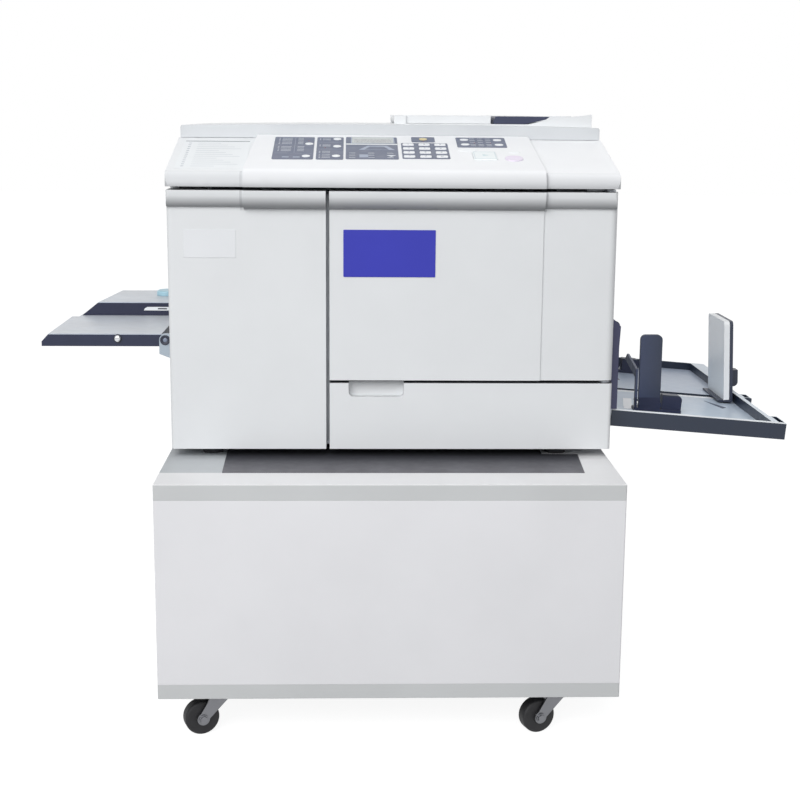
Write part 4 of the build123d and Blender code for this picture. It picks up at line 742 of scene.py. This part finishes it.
def panel_display():
    panel_plate("display_strip", [rect(-68.8, 8.3, 131.5, 137.5)], film_white)
    panel_plate("display_bezel", [round_rect(-61.5, 4.5, 139.5, 176.4, 1.5)], print_pale)
    panel_plate("display_window", [round_rect(-60, 3, 141, 175, 1)], display_glass(), FILM + LAYER, 0.1)


def panel_dashes():
    """Short dashes and dots in place of the printed words."""
    half, dot = 0.7, 1
    middle_line = 126
    out = []
    for s in (166, 158, 150, 142, 134, 118, 110, 102, 94):
        end = -133 if s > middle_line else -131
        out.append(rect(-170, -168, s - dot, s + dot))
        out.append(rect(-165, -150, s - half, s + half))
        out.append(rect(-141, end, s - half, s + half))
    for s in (164, 158, 128, 122, 92, 86, 76, 66, 58):
        out.append(rect(-108.5, -106.5, s - dot, s + dot))
        out.append(rect(-104, -92, s - half, s + half))
    for x in (-64, -36, -8):
        for s in (60, 72, 84):
            out.append(rect(x, x + 9, s - half, s + half))
    for x in (119, 131, 143):
        for s in (130, 138, 150, 160, 170):
            out.append(rect(x, x + 8, s - half, s + half))
    return out


def panel_prints():
    """Lines, dashes, the diagram under the display and the small lamps."""
    lines = [rect(-174, -119, 80.5, 81.3), rect(-110, -75, 144.5, 145.3), rect(-110, -75, 104.5, 105.3),
             rect(-145.5, -144.9, 84, 170), rect(-174, -148, 126, 126.6)]
    panel_plate("panel_lines", lines, print_pale)
    panel_plate("panel_dashes", panel_dashes(), print_white, bevel=0)
    diagram = [(-50, 102), (-36, 126), (-8, 126), (4, 102)]
    panel_plate("panel_diagram", [diagram], print_pale)
    core = [(-41, 104), (-33, 120), (-12, 120), (-5, 104)]
    panel_plate("panel_diagram_core", [core], film, FILM + LAYER)
    blocks = [rect(-49, -36, 60, 76), rect(-162, -152, 57, 62), rect(-146, -136, 57, 62)]
    panel_plate("panel_blocks", blocks, print_pale)
    panel_plate("panel_pointer", [[(-2, 64), (5, 72), (-9, 72)]], print_white, FILM + LAYER)
    lamp_red = plain("lamp_red", (150, 84, 92), 0.3)
    spots = ((-125, 152), (-100, 112), (48.5, 154), (126, 146), (150, 146))
    lamps = [polygon(x, s, 1.1, 12) for x, s in spots]
    panel_plate("panel_lamps", lamps, lamp_red, thick=0.3, bevel=0.08)


# Tops of the number keys and of the start key, off the panel
KEY_TOP = 1.6


def key_figures():
    """One figure on each number key."""
    ink = plain("figure_gray", (150, 156, 172), 0.5, grain=0.02)
    middle_x, middle_s = 48.6, 99.5
    pitch_x, pitch_s = 24, 22.3
    for index, text in enumerate(("1", "2", "3", "4", "5", "6", "7", "8", "9", "*", "0", "#")):
        row, column = divmod(index, 3)
        x = middle_x + (column - 1) * pitch_x
        s = middle_s + (1.5 - row) * pitch_s
        figure(f"key_figure_{index + 1}", text, x, s, KEY_TOP + 0.04, PANEL, ink, f"number_key_{index + 1}")


def start_key_marks():
    """Faint arrow and frame on the large key."""
    low = KEY_TOP + 0.01
    mark_teal = plain("mark_teal", (214, 230, 232), 0.4)
    plate("start_mark", [polygon(135.5, 73.5, 6.5, 3)], low, KEY_TOP + 0.1, PANEL, mark_teal, "start_key",
          0.03)
    frame_teal = plain("frame_teal", (218, 229, 234), 0.4)
    left, right, line = 119.5, 151.5, 1.2
    low_side, high_side = 56, 91
    outline = [rect(left, right, 91.2, 92.4), rect(left, right, 54.6, 55.8),
               rect(left, left + line, low_side, high_side), rect(right - line, right, low_side, high_side)]
    plate("start_outline", outline, low, KEY_TOP + 0.08, PANEL, frame_teal, "start_key", 0)


def platen_backing():
    """White backing sheet under the platen cover."""
    backing = plain("backing_white", (244, 245, 245), 0.6, grain=0.15, grain_scale=500.0)
    sheet = round_rect(-304, 304, 197, 565, 6)
    plate("platen_backing", [sheet], 457.2, 458.4, TOP, backing, "platen_cover", 0.4)


def glass_border():
    """Grey border on the scan glass, with a scale of ticks."""
    border_low, border_top = 449.02, 449.22
    outer_x, inner_x = 228, 218.6
    front, inner_front, inner_rear, rear = 181, 191.4, 498.4, 506
    border_gray = plain("border_gray", (206, 209, 212), 0.5)
    border = [rect(-outer_x, outer_x, front, inner_front),
              rect(-outer_x, -inner_x, inner_front, inner_rear),
              rect(inner_x, outer_x, inner_front, inner_rear),
              rect(-outer_x, outer_x, inner_rear, rear)]
    plate("glass_border", border, border_low, border_top, TOP, border_gray, "scanner_unit",
          0.05)
    half, pitch = 0.3, 15
    last_x, first_y, last_y = 210, 205, 490
    ticks = [rect(x - half, x + half, 186, 191) for x in range(-last_x, last_x + 1, pitch)]
    ticks += [rect(219.4, 224, y - half, y + half) for y in range(first_y, last_y + 1, pitch)]
    plate("glass_ticks", ticks, border_top, 449.3, TOP, ink_gray, "scanner_unit", 0)


def carriage_lamp():
    """Lamp tube along the top of the scan carriage."""
    lamp_glass = plain("lamp_glass", (226, 232, 228), 0.2, grain=0.0)
    low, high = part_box("scan_carriage")
    x = (low.x + high.x) / 2 * 1000 - MIDDLE_X * 1000
    carriage_h = 16
    z = (low.z - BASE_Z) * 1000 + carriage_h
    half = 4
    plate("carriage_lamp", [rect(x - half, x + half, 210, 481)], z + 0.1, z + 5, TOP, lamp_glass,
          "scan_carriage", 1.2)


def feeder_gap_shadow():
    """Dark sheet of painted shadow in the entry gap of the document feeder, on the ramp."""
    gap_shadow = plain("feeder_shadow_dark", (46, 52, 78), 0.38)
    low, high = 472.9, 484.6
    outline = [(162, low), (214, low), (246, 480.2), (252, high), (166, high)]
    # Painted shadow: a dark sheet where the feeder's gap lies in shade.
    plate("feeder_gap_shadow", [outline], -445, -229.4, FRONT, gap_shadow, "platen_cover", 0.3)


def axle_nuts():
    """A nut on each end of each caster's axle."""
    caster_turn = math.radians(200)
    axle_way = Vector((-math.sin(caster_turn), math.cos(caster_turn), 0))
    upright = Vector((0, 0, 1))
    yoke_face = 16.81
    nut = polygon(0, 0, 5.6, 6)
    for name in ("front_left", "front_right", "rear_left", "rear_right"):
        low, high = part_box(f"caster_wheel_{name}")
        for end, out in (("inner", axle_way), ("outer", -axle_way)):
            hub = axes((low + high) / 2, upright, upright.cross(out) * -1)
            plate(f"axle_nut_{name}_{end}", [nut], yoke_face, 18.6, hub, zinc, f"caster_{name}", 0.4)


front_plates()
cabinet_shadow_sheet()
door_ribs()
feed_ear_pins()
feed_knob()
guide_slot()
tray_prints()
delivery_wing()
lid_sheet()
panel_display()
panel_prints()
key_figures()
start_key_marks()
platen_backing()
glass_border()
carriage_lamp()
feeder_gap_shadow()
axle_nuts()

# Floor, backdrop and light, in metres
FLOOR_TONE = 0.28
FLOOR_GLOW = 0.9
FLOOR_HALF = 14.0
FLOOR_LEVEL = -0.0006
ROOM_COLOR = (0.97, 0.985, 1.0, 1)
ROOM_STRENGTH = 0.46
WHITE = (1, 1, 1, 1)


def seen_directly(tree):
    """1 for camera, glossy and transmission rays, 0 for the rays that light the object."""
    path = tree.nodes.new("ShaderNodeLightPath")
    value = path.outputs["Is Camera Ray"]
    for name in ("Is Glossy Ray", "Is Transmission Ray"):
        either = tree.nodes.new("ShaderNodeMath")
        either.operation = "MAXIMUM"
        tree.links.new(value, either.inputs[0])
        tree.links.new(path.outputs[name], either.inputs[1])
        value = either.outputs[0]
    return value


def floor_white():
    """Grey floor that keeps the shadow and glows white where it is seen."""
    material = bpy.data.materials.new("floor_white")
    material.use_nodes = True
    tree = material.node_tree
    tree.nodes.clear()
    out = tree.nodes.new("ShaderNodeOutputMaterial")
    diffuse = tree.nodes.new("ShaderNodeBsdfDiffuse")
    diffuse.inputs["Color"].default_value = (FLOOR_TONE, FLOOR_TONE, FLOOR_TONE, 1)
    glow = tree.nodes.new("ShaderNodeEmission")
    glow.inputs["Color"].default_value = WHITE
    level = tree.nodes.new("ShaderNodeMath")
    level.operation = "MULTIPLY"
    level.inputs[1].default_value = FLOOR_GLOW
    tree.links.new(seen_directly(tree), level.inputs[0])
    tree.links.new(level.outputs[0], glow.inputs["Strength"])
    both = tree.nodes.new("ShaderNodeAddShader")
    tree.links.new(diffuse.outputs[0], both.inputs[0])
    tree.links.new(glow.outputs[0], both.inputs[1])
    tree.links.new(both.outputs[0], out.inputs["Surface"])
    return material


def floor():
    bm = bmesh.new()
    corners = rect(-FLOOR_HALF, FLOOR_HALF, -FLOOR_HALF, FLOOR_HALF)
    bm.faces.new([bm.verts.new((x, y, FLOOR_LEVEL)) for x, y in corners])
    finish_mesh("floor", bm, Matrix.Identity(4), floor_white(), None, 0)


def backdrop():
    """Soft room light, seen as plain white."""
    world = bpy.data.worlds.new("studio")
    bpy.context.scene.world = world
    world.use_nodes = True
    tree = world.node_tree
    tree.nodes.clear()
    out = tree.nodes.new("ShaderNodeOutputWorld")
    room = tree.nodes.new("ShaderNodeBackground")
    room.inputs["Color"].default_value = ROOM_COLOR
    room.inputs["Strength"].default_value = ROOM_STRENGTH
    plain_white = tree.nodes.new("ShaderNodeBackground")
    plain_white.inputs["Color"].default_value = WHITE
    plain_white.inputs["Strength"].default_value = 1.0
    mix = tree.nodes.new("ShaderNodeMixShader")
    tree.links.new(seen_directly(tree), mix.inputs[0])
    tree.links.new(room.outputs[0], mix.inputs[1])
    tree.links.new(plain_white.outputs[0], mix.inputs[2])
    tree.links.new(mix.outputs[0], out.inputs["Surface"])


def area(name, place, target, width, height, energy):
    data = bpy.data.lights.new(name, "AREA")
    data.shape = "RECTANGLE"
    data.size = width
    data.size_y = height
    data.energy = energy
    obj = bpy.data.objects.new(name, data)
    obj.location = place
    obj.rotation_euler = (Vector(target) - Vector(place)).to_track_quat("-Z", "Y").to_euler()
    bpy.context.scene.collection.objects.link(obj)


floor()
backdrop()
area("key", (-1.15, -3.35, 2.68), (0, -0.2, 0.5), 3.2, 2.4, 123)
area("top", (0.4, 0.3, 3.4), (0, 0, 0.6), 2.4, 2.0, 5)

# Camera fitted to the photograph: its place in metres, its lens and sensor in millimetres
CAMERA_PLACE = (-0.09695, -2.31345, 0.87710)
CAMERA_YAW = math.radians(1.909)
CAMERA_PITCH = math.radians(11.1585)
CAMERA_ROLL = math.radians(0.4711)
CAMERA_LENS = 65.25
SENSOR_WIDTH = 36


def camera():
    forward = Vector((math.sin(CAMERA_YAW) * math.cos(CAMERA_PITCH),
                      math.cos(CAMERA_YAW) * math.cos(CAMERA_PITCH), -math.sin(CAMERA_PITCH)))
    level = Vector((math.cos(CAMERA_YAW), -math.sin(CAMERA_YAW), 0))
    upward = level.cross(forward)
    right = level * math.cos(CAMERA_ROLL) + upward * math.sin(CAMERA_ROLL)
    up = upward * math.cos(CAMERA_ROLL) - level * math.sin(CAMERA_ROLL)
    data = bpy.data.cameras.new("camera")
    data.lens = CAMERA_LENS
    data.sensor_width = SENSOR_WIDTH
    obj = bpy.data.objects.new("camera", data)
    turn = Matrix((right, up, -forward)).transposed().to_4x4()
    turn.translation = Vector(CAMERA_PLACE)
    obj.matrix_world = turn
    bpy.context.scene.collection.objects.link(obj)
    return obj


bpy.context.scene.camera = camera()
bpy.context.scene.view_settings.view_transform = "Standard"
